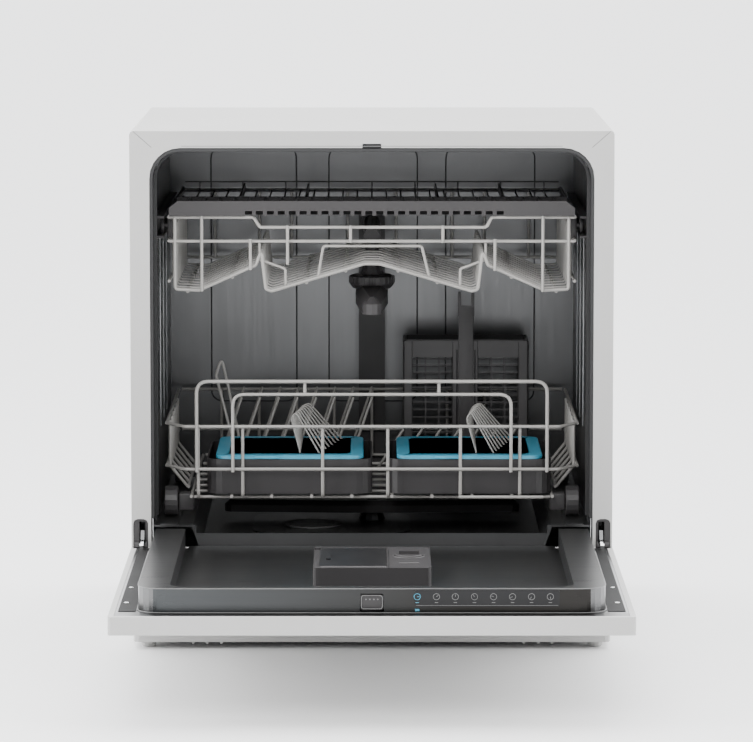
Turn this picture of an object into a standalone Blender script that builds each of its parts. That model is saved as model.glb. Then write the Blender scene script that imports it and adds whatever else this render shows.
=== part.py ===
"""Countertop dishwasher with its door open, modelled in metres with +Z up.

The front faces -Y. Shapes are drawn from the cabinet's front plane, y = 0 at the face of the
cabinet and growing towards its back, and one empty then puts the middle of the whole footprint,
open door included, on the origin.
"""

import math

import bmesh
import bpy
from mathutils import Matrix, Vector

# Cabinet
WIDTH = 0.550
HEIGHT = 0.595
DEPTH = 0.470
SHEET = 0.0012
SEAT = 0.0003
FLANGE_FACE = 0.0225
TOP_RAIL = 0.0192
CORNER_RADIUS = 0.035
BASE_GROUND_GAP = 0.0084
SKIRT_HEIGHT = 0.0300
BASE_WALL = 0.003
FRAME_DEPTH = 0.0325
PORT_REACH = 0.018

# Feet
FOOT_RADIUS = 0.0085
FOOT_INSET = 0.018
FOOT_FROM_FRONT = 0.022
FOOT_STEM_RADIUS = 0.004

# Door
PIVOT_Z = 0.1197
DOOR_TOP_GAP = 0.0025
DOOR_STAND_OFF = 0.0006
DOOR_THICKNESS = 0.020
DOOR_SKIN = 0.0015
DOOR_LIP = 0.006
LINER_SHEET = 0.0015
LINER_HALF = 0.2455
LINER_START = 0.034
LINER_END = 0.449
LINER_RIM = 0.0253
LINER_FIELD = 0.0018
RAIL_WIDTH = 0.0335
FRONT_RIM = 0.017
LINER_CORNER = 0.030

# Tub
TUB_HALF = 0.248
TUB_SHEET = 0.0015
TUB_BACK = 0.425
TUB_CEILING = 0.5745
TROUGH_Z = 0.118
TROUGH_HALF = 0.196
LEDGE_INNER = 0.205
TRACK_RISE = 0.0022
TRACK_X = (0.2215, 0.2420)
SILL_Z = 0.134
SILL_Y = 0.004
GASKET_WIDTH = 0.0032
EMBOSS = 0.0012

# Baskets
WIRE = 0.0019
THICK_WIRE = 0.0022
THIN_WIRE = 0.0016
LOWER_HALF = 0.2375
LOWER_FRONT = 0.0400
LOWER_BACK = 0.4000
LOWER_TOP = 0.2525
LOWER_MIDDLE = 0.2030
LOWER_FLOOR = 0.1710
LOWER_FLOOR_HALF = 0.208
LOWER_CORNER = 0.021
LOWER_CORNER_DEPTH = 0.031
HANDLE_TOP = 0.305
HANDLE_HALF = 0.2015
INNER_HANDLE_TOP = 0.290
INNER_HANDLE_HALF = 0.160
WHEEL_RADIUS = 0.0175
WHEEL_INNER = 0.2240
WHEEL_OUTER = 0.2395
LOWER_WHEELS_Y = (0.066, 0.340)

UPPER_HALF = 0.2325
UPPER_FRONT = 0.0400
UPPER_BACK = 0.3950
UPPER_TOP = 0.4939
UPPER_STEP_TOP = 0.4824
UPPER_STEP_HALF = 0.1315
UPPER_MIDDLE = 0.4664
UPPER_FLOOR = 0.4105
UPPER_PEAK = 0.4457
UPPER_BACK_TOP = 0.4985
ZIGZAG_FIRST_Y = 0.0715
ZIGZAG_PITCH = 0.0315
ZIGZAGS = 10
UPPER_WHEEL_RADIUS = 0.0092
UPPER_WHEELS_Y = (0.075, 0.372)
UPPER_WHEEL_INNER = 0.2390
UPPER_WHEEL_OUTER = 0.2432
RAIL_Z = 0.4815
RAIL_CLEAR = 0.020
RAIL_FLANGE = 0.0025
RAIL_WEB = 0.0015
RAIL_END = 0.010
RAIL_INNER = 0.2385
RAIL_FRONT = 0.045
RAIL_BACK = 0.415

# Spray arms and water parts
ARM_Y = 0.215
LOWER_ARM_REACH = 0.175
UPPER_ARM_REACH = 0.160
LOWER_ARM_Z = (0.1290, 0.1430)
UPPER_ARM_Z = (0.3800, 0.4000)
NUT_RADIUS = 0.0265
NUT_TOP = 0.4117
ARM_PIN = 0.006
RUNNING_GAP = 0.0003
FEED_PIPE_RADIUS = 0.010
DUCT_HALF = 0.016
DUCT_FRONT = 0.4045
DUCT_TOP = 0.4750
DUCT_FOOT_Y = 0.285
DUCT_DOCK = 0.3990
SUMP_X = -0.070
SUMP_Y = 0.165
SUMP_RADIUS = 0.050
SUMP_BOTTOM = 0.066
PUMP_Z = 0.080
FILTER_RADIUS = 0.030
SALT_X = 0.115
SALT_Y = 0.315

# Loose racks in the lower basket
TRAY_WALL = 0.002
TRAY_Y = (0.0500, 0.2220)
TRAY_TOP = 0.2130
TRAY_CORNER = 0.018
LEFT_TRAY_X = (-0.1907, 0.0005)
RIGHT_TRAY_X = (0.0184, 0.2074)
INSERT_INSET = 0.0104
INSERT_THICKNESS = 0.0042
FAN_LOOPS = 8
FAN_PITCH = 0.0155
CUTLERY_X = (0.038, 0.190)
CUTLERY_Y = (0.325, 0.388)
CUTLERY_TOP = 0.3215
CUTLERY_HANDLE_TOP = 0.380
TINE_PITCH = 0.0223
PLATE_TINES = 8
BOWL_TINES = 7
PLATE_TINE_LENGTH = 0.088
BOWL_TINE_LENGTH = 0.056
PLATE_TINE_LEAN = math.radians(19)
BOWL_TINE_LEAN = math.radians(34)
FRONT_TINE_Y = 0.262
REAR_TINE_Y = 0.362

# Basket wires
FLOOR_LONG = 10
FLOOR_CROSS = 7
FLOOR_CROSS_Y = 0.060
FLOOR_CROSS_PITCH = 0.047
SUPPORT_Y = 0.231
SUPPORT_TOP = 0.309
AXLE_RADIUS = 0.0035
FRONT_BARS_X = (-0.2000, -0.1488, -0.0567, 0.0183, 0.1019, 0.1704)
HANDLE_LINKS_X = (-0.077, 0.077)
BACK_BARS_X = (-0.1849, -0.1387, -0.0924, -0.0462, 0.0, 0.0462, 0.0924, 0.1387, 0.1849)
SIDE_BARS_Y = (0.095, 0.135, 0.175, 0.215, 0.255, 0.300)
SIDE_TOE_Z = 0.1765
ZIGZAG = ((0.2256, 0.4113), (0.1980, 0.4101), (0.1330, 0.4390), (0.1265, 0.4560), (0.1215, 0.4115),
          (0.1150, 0.4090), (0.0090, 0.4405), (0.0, 0.4457))
UPPER_LONG_X = (0.030, 0.075, 0.160, 0.2115)
UPPER_FRONT_BARS_X = (-0.2249, -0.1940, -0.1390, -0.0964, -0.0250, 0.0294, 0.0812, 0.1406, 0.1954, 0.2249)
UPPER_BACK_BARS_X = (0.040, 0.095, 0.150, 0.205)
UPPER_BACK_RAIL = 0.4750
UPPER_BACK_LOW = 0.4160
UPPER_SIDE_LOW = 0.4200
UPPER_SIDE_BARS_Y = (0.100, 0.155, 0.210, 0.265, 0.320)
UPPER_AXLE = 0.0030
PLATE_TINE_X = -0.1850
BOWL_TINE_X = 0.0060
BOWL_TINE_Y = 0.250
INSERT_FRAME = 0.0165
LEFT_FAN_X = (-0.0816, -0.0450)
LEFT_FAN_APEX = -0.0850
RIGHT_FAN_X = (0.1227, 0.1571)
RIGHT_FAN_APEX = 0.1180
FAN_TOP = 0.2620
CUTLERY_WINDOWS_X = ((0.0490, 0.0978), (0.1284, 0.1780))
WINDOW_COLUMNS = 4
WINDOW_ROWS = 4
WINDOW_PITCH = 0.033
CUTLERY_TRAY_HALF = 0.2320
CUTLERY_TRAY_Y = (0.032, 0.390)
CUTLERY_TRAY_TOP = 0.5130
TRAY_COLUMNS = 6
TRAY_ROWS = 3
TRAY_RIBS_X = (-0.0775, 0.0775)

# Door furniture and hinges
STRIKE_HALF = 0.0105
STRIKE_RISE = 0.0045
RECESS_INNER = 0.2560
RECESS_OUTER = 0.2730
RECESS_BOTTOM = 0.0950
RECESS_CORNER = 0.005
RECESS_TOP = 0.1510
FRAME_BOTTOM = 0.1515
BRACKET_BOTTOM = 0.1000
BRACKET_BACK = 0.060
ARM_SLOT_INNER = 0.2590
ARM_SLOT_OUTER = 0.2660
ARM_SLOT_BACK = 0.034
ARM_THICKNESS = 0.004
ARM_EYE = 0.0065
ARM_STRAP = 0.027
HINGE_PIN_RADIUS = 0.003
HINGE_EAR = 0.0055
DOOR_NOTCH = 0.012
DISPENSER_X = (-0.0635, 0.0640)
DISPENSER_Y = (-0.310, -0.165)
DISPENSER_TOP = 0.1445
CUP_X = (-0.0565, 0.0155)
CUP_Y = (-0.296, -0.172)
LID_THICKNESS = 0.0017
RINSE_X = 0.0405
RINSE_Y = -0.226
RINSE_RADIUS = 0.0150
CONTROLS_X = (0.045, 0.196)
CONTROLS_Z = (0.1265, 0.1440)
LATCH_HALF = 0.0120
LATCH_Z = (0.1212, 0.1392)

# Base and back
PLINTH_TOP = 0.1155
BASE_SIDE_TOP = 0.040
REAR_RIBS = 3
REAR_RIB_FIRST = 0.20
REAR_RIB_PITCH = 0.10
REAR_RIB_HEIGHT = 0.030
REAR_RIB_HALF = 0.19
TUB_PANELS_X = ((-0.1976, -0.0927), (-0.0527, 0.0558), (0.0910, 0.2000))
TUB_PANEL_BOTTOM = 0.235
TUB_PANEL_TOP = 0.548

# Worked out from the sizes above
HALF = WIDTH / 2
OPENING_HALF = HALF - FLANGE_FACE
OPENING_TOP = HEIGHT - TOP_RAIL
INNER_SHEET = HALF - SHEET
DOOR_END = HEIGHT - DOOR_TOP_GAP - PIVOT_Z
DOOR_START = DOOR_TOP_GAP
LINER_FIELD_Z = PIVOT_Z + LINER_FIELD
LINER_TOP_Z = PIVOT_Z + LINER_RIM
TRACK_Z = LINER_TOP_Z
LEDGE_Z = TRACK_Z - TRACK_RISE
WIRE_FLOOR_TOP = LOWER_FLOOR + WIRE
LOOSE_Z = WIRE_FLOOR_TOP + SEAT
FEED_PIPE_Z = UPPER_PEAK + WIRE + SEAT + FEED_PIPE_RADIUS
FRONT_Y = (DOOR_END - DEPTH - PORT_REACH) / 2


for old in list(bpy.data.objects):
    bpy.data.objects.remove(old, do_unlink=True)


def material(name, colour, roughness, metallic=0.0):
    made = bpy.data.materials.new(name)
    made.use_nodes = True
    shader = made.node_tree.nodes["Principled BSDF"]
    shader.inputs["Base Color"].default_value = (*colour, 1.0)
    shader.inputs["Roughness"].default_value = roughness
    shader.inputs["Metallic"].default_value = metallic
    made.diffuse_color = (*colour, 1.0)
    return made


# Finishes: colour, roughness, metallic
WHITE_PAINT = ((0.80, 0.80, 0.79), 0.35, 0.0)
TUB_STEEL = ((0.33, 0.33, 0.34), 0.30, 1.0)
DARK_PLASTIC = ((0.075, 0.072, 0.073), 0.45, 0.0)
BLACK_GLOSS = ((0.012, 0.012, 0.013), 0.12, 0.0)
COATED_WIRE = ((0.46, 0.45, 0.43), 0.40, 0.0)
BLUE_PLASTIC = ((0.04, 0.42, 0.66), 0.35, 0.0)
CHROME = ((0.78, 0.78, 0.79), 0.10, 1.0)
BLACK_RUBBER = ((0.02, 0.02, 0.02), 0.75, 0.0)
GREY_PLASTIC = ((0.40, 0.40, 0.40), 0.50, 0.0)
GALVANISED = ((0.55, 0.56, 0.57), 0.45, 1.0)
GUIDE = ((1.0, 0.0, 0.0), 0.5, 0.0)


places = {}


def carrier(name, x=0.0, y=0.0, z=0.0, parent=None):
    """An empty on a joint's axis, which that body's pieces hang from. Places are in the drawing frame."""
    empty = bpy.data.objects.new(name, None)
    bpy.context.scene.collection.objects.link(empty)
    places[name] = Vector((x, y, z))
    if parent is None:
        empty.location = places[name] + Vector((0, FRONT_Y, 0))
    else:
        empty.parent = parent
        empty.location = places[name] - places[parent.name]
    return empty


def hang(obj, body):
    obj.parent = body
    obj.matrix_parent_inverse = Matrix.Translation(-places[body.name])
    return obj


def piece(name, bm, finish, body, smooth=True):
    """The object of one sub-part, from a bmesh in the drawing frame."""
    bmesh.ops.recalc_face_normals(bm, faces=bm.faces)
    mesh = bpy.data.meshes.new(name)
    bm.to_mesh(mesh)
    bm.free()
    if smooth:
        mesh.shade_smooth()
        mesh.set_sharp_from_angle(angle=math.radians(35))
    obj = bpy.data.objects.new(name, mesh)
    obj.data.materials.append(material(name, *finish))
    bpy.context.scene.collection.objects.link(obj)
    return hang(obj, body)


def helper(name, bm, body):
    obj = piece(name, bm, GUIDE, body, smooth=False)
    obj.hide_render = True
    obj.display_type = "WIRE"
    return obj


def boolean(obj, other, operation, own=False):
    change = obj.modifiers.new(other.name, "BOOLEAN")
    change.object = other
    change.operation = operation
    change.solver = "EXACT"
    change.use_self = own
    return obj


def cut(obj, bm, own=False):
    other = helper(f"{obj.name}_cut_{len(obj.modifiers)}", bm, obj.parent)
    return boolean(obj, other, "DIFFERENCE", own)


def join(obj, bm, own=False):
    other = helper(f"{obj.name}_join_{len(obj.modifiers)}", bm, obj.parent)
    return boolean(obj, other, "UNION", own)


def arc(cx, cy, radius, start, end, steps):
    """Points on an arc, angles in degrees, both ends included."""
    angles = [math.radians(start + (end - start) * i / steps) for i in range(steps + 1)]
    return [(cx + radius * math.cos(a), cy + radius * math.sin(a)) for a in angles]


def rounded(x0, x1, y0, y1, radius, steps=4, corners=(1, 1, 1, 1)):
    """A rectangle's outline; corners says which of low-low, high-low, high-high, low-high are round."""
    spots = ((x0, y0, 180), (x1, y0, 270), (x1, y1, 0), (x0, y1, 90))
    inward = ((1, 1), (-1, 1), (-1, -1), (1, -1))
    points = []
    for (x, y, start), (dx, dy), wanted in zip(spots, inward, corners):
        if wanted and radius > 0:
            points += arc(x + dx * radius, y + dy * radius, radius, start, start + 90, steps)
        else:
            points.append((x, y))
    return points


def arch(half, bottom, top, radius, steps=6):
    """An opening's outline: square at the bottom, round at both top corners."""
    return rounded(-half, half, bottom, top, radius, steps, corners=(0, 0, 1, 1))


def prism(outline, axis, low, high, bm=None):
    """An outline pushed from low to high along an axis; its points are the other two coordinates."""
    bm = bm or bmesh.new()
    order = {
        "X": lambda u, v, w: (w, u, v),
        "Y": lambda u, v, w: (u, w, v),
        "Z": lambda u, v, w: (u, v, w),
    }[axis]
    face = bm.faces.new([bm.verts.new(order(u, v, low)) for u, v in outline])
    grown = bmesh.ops.extrude_face_region(bm, geom=[face])["geom"]
    moved = [g for g in grown if isinstance(g, bmesh.types.BMVert)]
    step = Vector(order(0, 0, high - low))
    bmesh.ops.translate(bm, verts=moved, vec=step)
    return bm


def block(x0, x1, y0, y1, z0, z1, bm=None):
    return prism(((x0, y0), (x1, y0), (x1, y1), (x0, y1)), "Z", z0, z1, bm)


def turned(profile, centre, axis="Z", steps=16, bm=None):
    """A profile of (radius, height) points, starting and ending on the axis, spun round it."""
    bm = bm or bmesh.new()
    turn = {
        "Z": Matrix.Identity(3),
        "Y": Matrix.Rotation(math.radians(-90), 3, "X"),
        "X": Matrix.Rotation(math.radians(90), 3, "Y"),
    }[axis]
    chain = [bm.verts.new((r, 0, h)) for r, h in profile]
    edges = [bm.edges.new(pair) for pair in zip(chain, chain[1:])]
    bmesh.ops.spin(
        bm, geom=chain + edges, axis=(0, 0, 1), cent=(0, 0, 0), dvec=(0, 0, 0),
        angle=math.tau, steps=steps, use_merge=True,
    )
    bmesh.ops.remove_doubles(bm, verts=bm.verts, dist=1e-6)
    bmesh.ops.transform(bm, matrix=turn.to_4x4(), verts=bm.verts)
    bmesh.ops.translate(bm, verts=bm.verts, vec=centre)
    return bm


def rod(radius, centre, axis, low, high, steps=12, bm=None):
    """A round bar along an axis; centre holds the other two coordinates."""
    return prism(arc(*centre, radius, 0, 360 - 360 / steps, steps - 1), axis, low, high, bm)


def wire(bm, path, radius=WIRE, sides=6, closed=False):
    """A round wire along a path of points, mitred where it bends, with flat ends."""
    points = [Vector(p) for p in path]
    count = len(points)
    rings = []
    side = None
    for i, here in enumerate(points):
        before = points[i - 1] if closed or i else None
        after = points[(i + 1) % count] if closed or i < count - 1 else None
        way_in = (here - before).normalized() if before else (after - here).normalized()
        way_out = (after - here).normalized() if after else way_in
        along = (way_in + way_out).normalized()
        if side is None:
            upright = Vector((0, 0, 1)) if abs(along.z) < 0.9 else Vector((0, 1, 0))
            side = along.cross(upright).normalized()
        side = (side - along * side.dot(along)).normalized()
        other = along.cross(side)
        bend = (way_out - way_in)
        stretch = 1 / max(0.35, along.dot(way_in))
        bend = bend.normalized() if bend.length > 1e-6 else None
        ring = []
        for k in range(sides):
            angle = math.tau * (k + 0.5) / sides
            spoke = side * math.cos(angle) + other * math.sin(angle)
            if bend:
                spoke += bend * spoke.dot(bend) * (stretch - 1)
            ring.append(bm.verts.new(here + spoke * radius))
        rings.append(ring)
    pairs = list(zip(rings, rings[1:])) + ([(rings[-1], rings[0])] if closed else [])
    for first, second in pairs:
        for k in range(sides):
            n = (k + 1) % sides
            bm.faces.new((first[k], first[n], second[n], second[k]))
    if not closed:
        bm.faces.new(rings[0][::-1])
        bm.faces.new(rings[-1])
    return bm


def wires(paths, radius=WIRE, sides=6):
    bm = bmesh.new()
    for path in paths:
        wire(bm, path, radius, sides)
    return bm


def welded(name, rails, bars, body, finish=None, rail_radius=WIRE, bar_radius=WIRE):
    """A panel of rails with bars lying against them, sunk in a little where they are welded."""
    obj = piece(name, wires(rails, rail_radius), finish or COATED_WIRE, body)
    return join(obj, wires(bars, bar_radius), own=True)


def between(a, b):
    return (min(a, b), max(a, b))


def strike_slot(height):
    """The slot through the top rail that the door strike is set in."""
    top = OPENING_TOP + STRIKE_RISE + SEAT
    return block(-STRIKE_HALF - SEAT, STRIKE_HALF + SEAT, -0.01, 0.012 + SEAT, OPENING_TOP - height, top)


# Bodies
root = carrier("cabinet_frame")
door = carrier("door_pivot", 0, 0, PIVOT_Z, root)
lower = carrier("lower_basket_runner", 0, LOWER_FRONT, TRACK_Z, root)
upper = carrier("upper_basket_runner", 0, UPPER_FRONT, RAIL_Z, root)


def cabinet():
    """Folded steel wrap: roof, sides and the flanges turned in round the mouth."""
    shell = piece(
        "cabinet_shell",
        prism(rounded(-HALF, HALF, SKIRT_HEIGHT, HEIGHT, 0.004, 2, (0, 0, 1, 1)), "Y", 0, DEPTH),
        WHITE_PAINT, root,
    )
    cut(shell, block(-INNER_SHEET, INNER_SHEET, SHEET, DEPTH + 0.1, -0.1, HEIGHT - SHEET))
    cut(shell, prism(arch(OPENING_HALF, -0.1, OPENING_TOP, CORNER_RADIUS), "Y", -0.1, 0.1))
    for sign in (-1, 1):
        x0, x1 = between(sign * RECESS_INNER, sign * RECESS_OUTER)
        recess = rounded(x0, x1, RECESS_BOTTOM, RECESS_TOP, RECESS_CORNER, 2)
        cut(shell, prism(recess, "Y", -0.1, SHEET + 0.1))
    cut(shell, block(-INNER_SHEET, INNER_SHEET, -0.1, SHEET + 0.1, -0.1, BRACKET_BOTTOM))
    cut(shell, strike_slot(0.002))

    frame_half = INNER_SHEET - SEAT
    frame = piece(
        "front_frame",
        prism(
            arch(frame_half, FRAME_BOTTOM, HEIGHT - SHEET - SEAT, 0.004, 2), "Y",
            SHEET + SEAT, SHEET + FRAME_DEPTH,
        ),
        WHITE_PAINT, root,
    )
    cut(frame, prism(arch(OPENING_HALF, 0, OPENING_TOP, CORNER_RADIUS), "Y", -0.1, 0.1))
    cut(frame, block(-frame_half + 0.004, frame_half - 0.004, 0.02, 0.1, 0.58, HEIGHT - 0.004))
    cut(frame, strike_slot(0.002))

    rear = piece(
        "rear_panel",
        prism(
            rounded(-INNER_SHEET + SEAT, INNER_SHEET - SEAT, SKIRT_HEIGHT, HEIGHT - SHEET - SEAT, 0.003, 2),
            "Y", DEPTH - 0.002, DEPTH - 0.0008,
        ),
        GALVANISED, root,
    )
    for k in range(REAR_RIBS):
        z = REAR_RIB_FIRST + k * REAR_RIB_PITCH
        join(rear, prism(
            rounded(-REAR_RIB_HALF, REAR_RIB_HALF, z, z + REAR_RIB_HEIGHT, 0.006, 3), "Y",
            DEPTH - 0.0015, DEPTH + 0.0010,
        ))

    half = INNER_SHEET - SEAT
    base = piece(
        "base_tray",
        prism(rounded(-half, half, 0, DEPTH - 0.0025, 0.006, 2), "Z", BASE_GROUND_GAP, PLINTH_TOP),
        WHITE_PAINT, root,
    )
    cut(base, block(-half + BASE_WALL, half - BASE_WALL, BASE_WALL, DEPTH - 0.006,
                    BASE_GROUND_GAP + BASE_WALL, 0.3))
    cut(base, block(-0.3, 0.3, BASE_WALL + 0.001, 0.6, BASE_SIDE_TOP, 0.3))
    for sign in (-1, 1):
        x = sign * (HALF - FOOT_INSET)
        cut(base, rod(FOOT_STEM_RADIUS + RUNNING_GAP, (x, FOOT_FROM_FRONT), "Z", 0, 0.03))
        join(base, rod(FOOT_RADIUS, (x, DEPTH - 0.03), "Z", 0, BASE_GROUND_GAP + 0.001))
        x0, x1 = between(sign * (OPENING_HALF - 0.0005), sign * 0.3)
        cut(base, block(x0, x1, -0.01, 0.1, BRACKET_BOTTOM - SEAT, 0.3))
    return shell


def feet():
    for name, sign in (("left", -1), ("right", 1)):
        x = sign * (HALF - FOOT_INSET)
        top = BASE_GROUND_GAP - SEAT
        stem_top = BASE_GROUND_GAP + BASE_WALL + 0.010
        profile = (
            (0, stem_top), (FOOT_STEM_RADIUS, stem_top), (FOOT_STEM_RADIUS, top),
            (FOOT_RADIUS, top), (FOOT_RADIUS, 0.002), (FOOT_RADIUS - 0.0015, 0), (0, 0),
        )
        body = carrier(f"front_foot_{name}_axis", x, FOOT_FROM_FRONT, 0, root)
        piece(f"front_foot_{name}", turned(profile, (x, FOOT_FROM_FRONT, 0), steps=12), BLACK_RUBBER, body)


def tub():
    """Pressed steel tub: a mouth, ledges with a wheel track along both sides, a trough between them."""
    back = TUB_BACK + TUB_SHEET
    half = TUB_HALF + TUB_SHEET
    under = LEDGE_Z - TUB_SHEET
    ledge = LEDGE_INNER + TUB_SHEET * 0.8
    trough = TROUGH_HALF + TUB_SHEET * 0.8
    outside = (
        [(-half, under), (-ledge, under), (-trough, TROUGH_Z - TUB_SHEET),
         (trough, TROUGH_Z - TUB_SHEET), (ledge, under), (half, under)]
        + arc(half - 0.03, TUB_CEILING + TUB_SHEET - 0.03, 0.03, 0, 90, 4)
        + arc(-half + 0.03, TUB_CEILING + TUB_SHEET - 0.03, 0.03, 90, 180, 4)
    )
    inside = (
        [(-TUB_HALF, LEDGE_Z), (-LEDGE_INNER, LEDGE_Z), (-TROUGH_HALF, TROUGH_Z),
         (TROUGH_HALF, TROUGH_Z), (LEDGE_INNER, LEDGE_Z), (TUB_HALF, LEDGE_Z)]
        + arc(TUB_HALF - 0.0285, TUB_CEILING - 0.0285, 0.0285, 0, 90, 4)
        + arc(-TUB_HALF + 0.0285, TUB_CEILING - 0.0285, 0.0285, 90, 180, 4)
    )
    made = piece("tub", prism(outside, "Y", SILL_Y, back), TUB_STEEL, root)
    mouth_back = SHEET + FRAME_DEPTH + SEAT
    join(made, prism(
        arch(half + 0.012, LEDGE_Z + 0.02, TUB_CEILING + TUB_SHEET + 0.010, 0.04), "Y",
        mouth_back - 0.0006, mouth_back + 0.0012,
    ))
    cut(made, prism(inside, "Y", SILL_Y + TUB_SHEET, TUB_BACK))
    cut(made, block(-0.3, 0.3, -0.1, mouth_back, LEDGE_Z + 0.0008, 0.7))
    cut(made, block(-LEDGE_INNER + 0.004, LEDGE_INNER - 0.004, -0.1, SILL_Y + 0.01, SILL_Z, 0.7))
    for sign in (-1, 1):
        x0, x1 = between(sign * TRACK_X[0], sign * TRACK_X[1])
        join(made, block(x0, x1, SILL_Y, TUB_BACK - 0.03, LEDGE_Z - TUB_SHEET * 0.5, TRACK_Z))
    for x0, x1 in TUB_PANELS_X:
        join(made, prism(
            rounded(x0, x1, TUB_PANEL_BOTTOM, TUB_PANEL_TOP, 0.014, 3), "Y",
            TUB_BACK - EMBOSS, TUB_BACK + TUB_SHEET * 0.5,
        ))
    cut(made, rod(SUMP_RADIUS - 0.002, (SUMP_X, SUMP_Y), "Z", 0.1, 0.13, 20))
    return made


def seals():
    """Door gasket: a soft rubber arch lining the mouth, and the strike that the latch catches on."""
    outer = OPENING_HALF - SEAT
    inner = outer - GASKET_WIDTH
    y0, y1 = SHEET + SEAT, SHEET + FRAME_DEPTH
    gasket = piece(
        "door_gasket",
        prism(arch(outer, FRAME_BOTTOM, OPENING_TOP - SEAT, CORNER_RADIUS - SEAT), "Y", y0, y1),
        BLACK_RUBBER, root,
    )
    cut(gasket, prism(
        arch(inner, 0, OPENING_TOP - SEAT - GASKET_WIDTH, CORNER_RADIUS - GASKET_WIDTH), "Y", -0.1, 0.1,
    ))
    piece(
        "door_strike",
        prism(
            rounded(-STRIKE_HALF, STRIKE_HALF, OPENING_TOP, OPENING_TOP + STRIKE_RISE, 0.0015, 2),
            "Y", SHEET * 0.2, 0.012,
        ),
        BLACK_GLOSS, root,
    )


def hinges():
    """Moulded brackets in the lower corners of the mouth, each with the pin that a door arm turns on."""
    for name, sign in (("left", -1), ("right", 1)):
        x0, x1 = between(sign * (RECESS_INNER + SEAT), sign * (RECESS_OUTER - SEAT))
        corner = RECESS_CORNER - SEAT
        housing = prism(
            rounded(x0, x1, BRACKET_BOTTOM, RECESS_TOP - SEAT, corner, 2, (0, 0, 1, 1)), "Y",
            SHEET * 0.3, BRACKET_BACK,
        )
        bracket = piece(f"hinge_bracket_{name}", housing, DARK_PLASTIC, root)
        join(bracket, rod(HINGE_EAR, (0, PIVOT_Z), "X", x0 + 0.001, x1 - 0.001, 12))
        s0, s1 = between(sign * ARM_SLOT_INNER, sign * ARM_SLOT_OUTER)
        cut(bracket, block(s0, s1, -0.01, ARM_SLOT_BACK, BRACKET_BOTTOM - 0.01, RECESS_TOP - 0.003))
        join(bracket, rod(HINGE_PIN_RADIUS, (0, PIVOT_Z), "X", s0 - 0.001, s1 + 0.001, 10))


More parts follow.
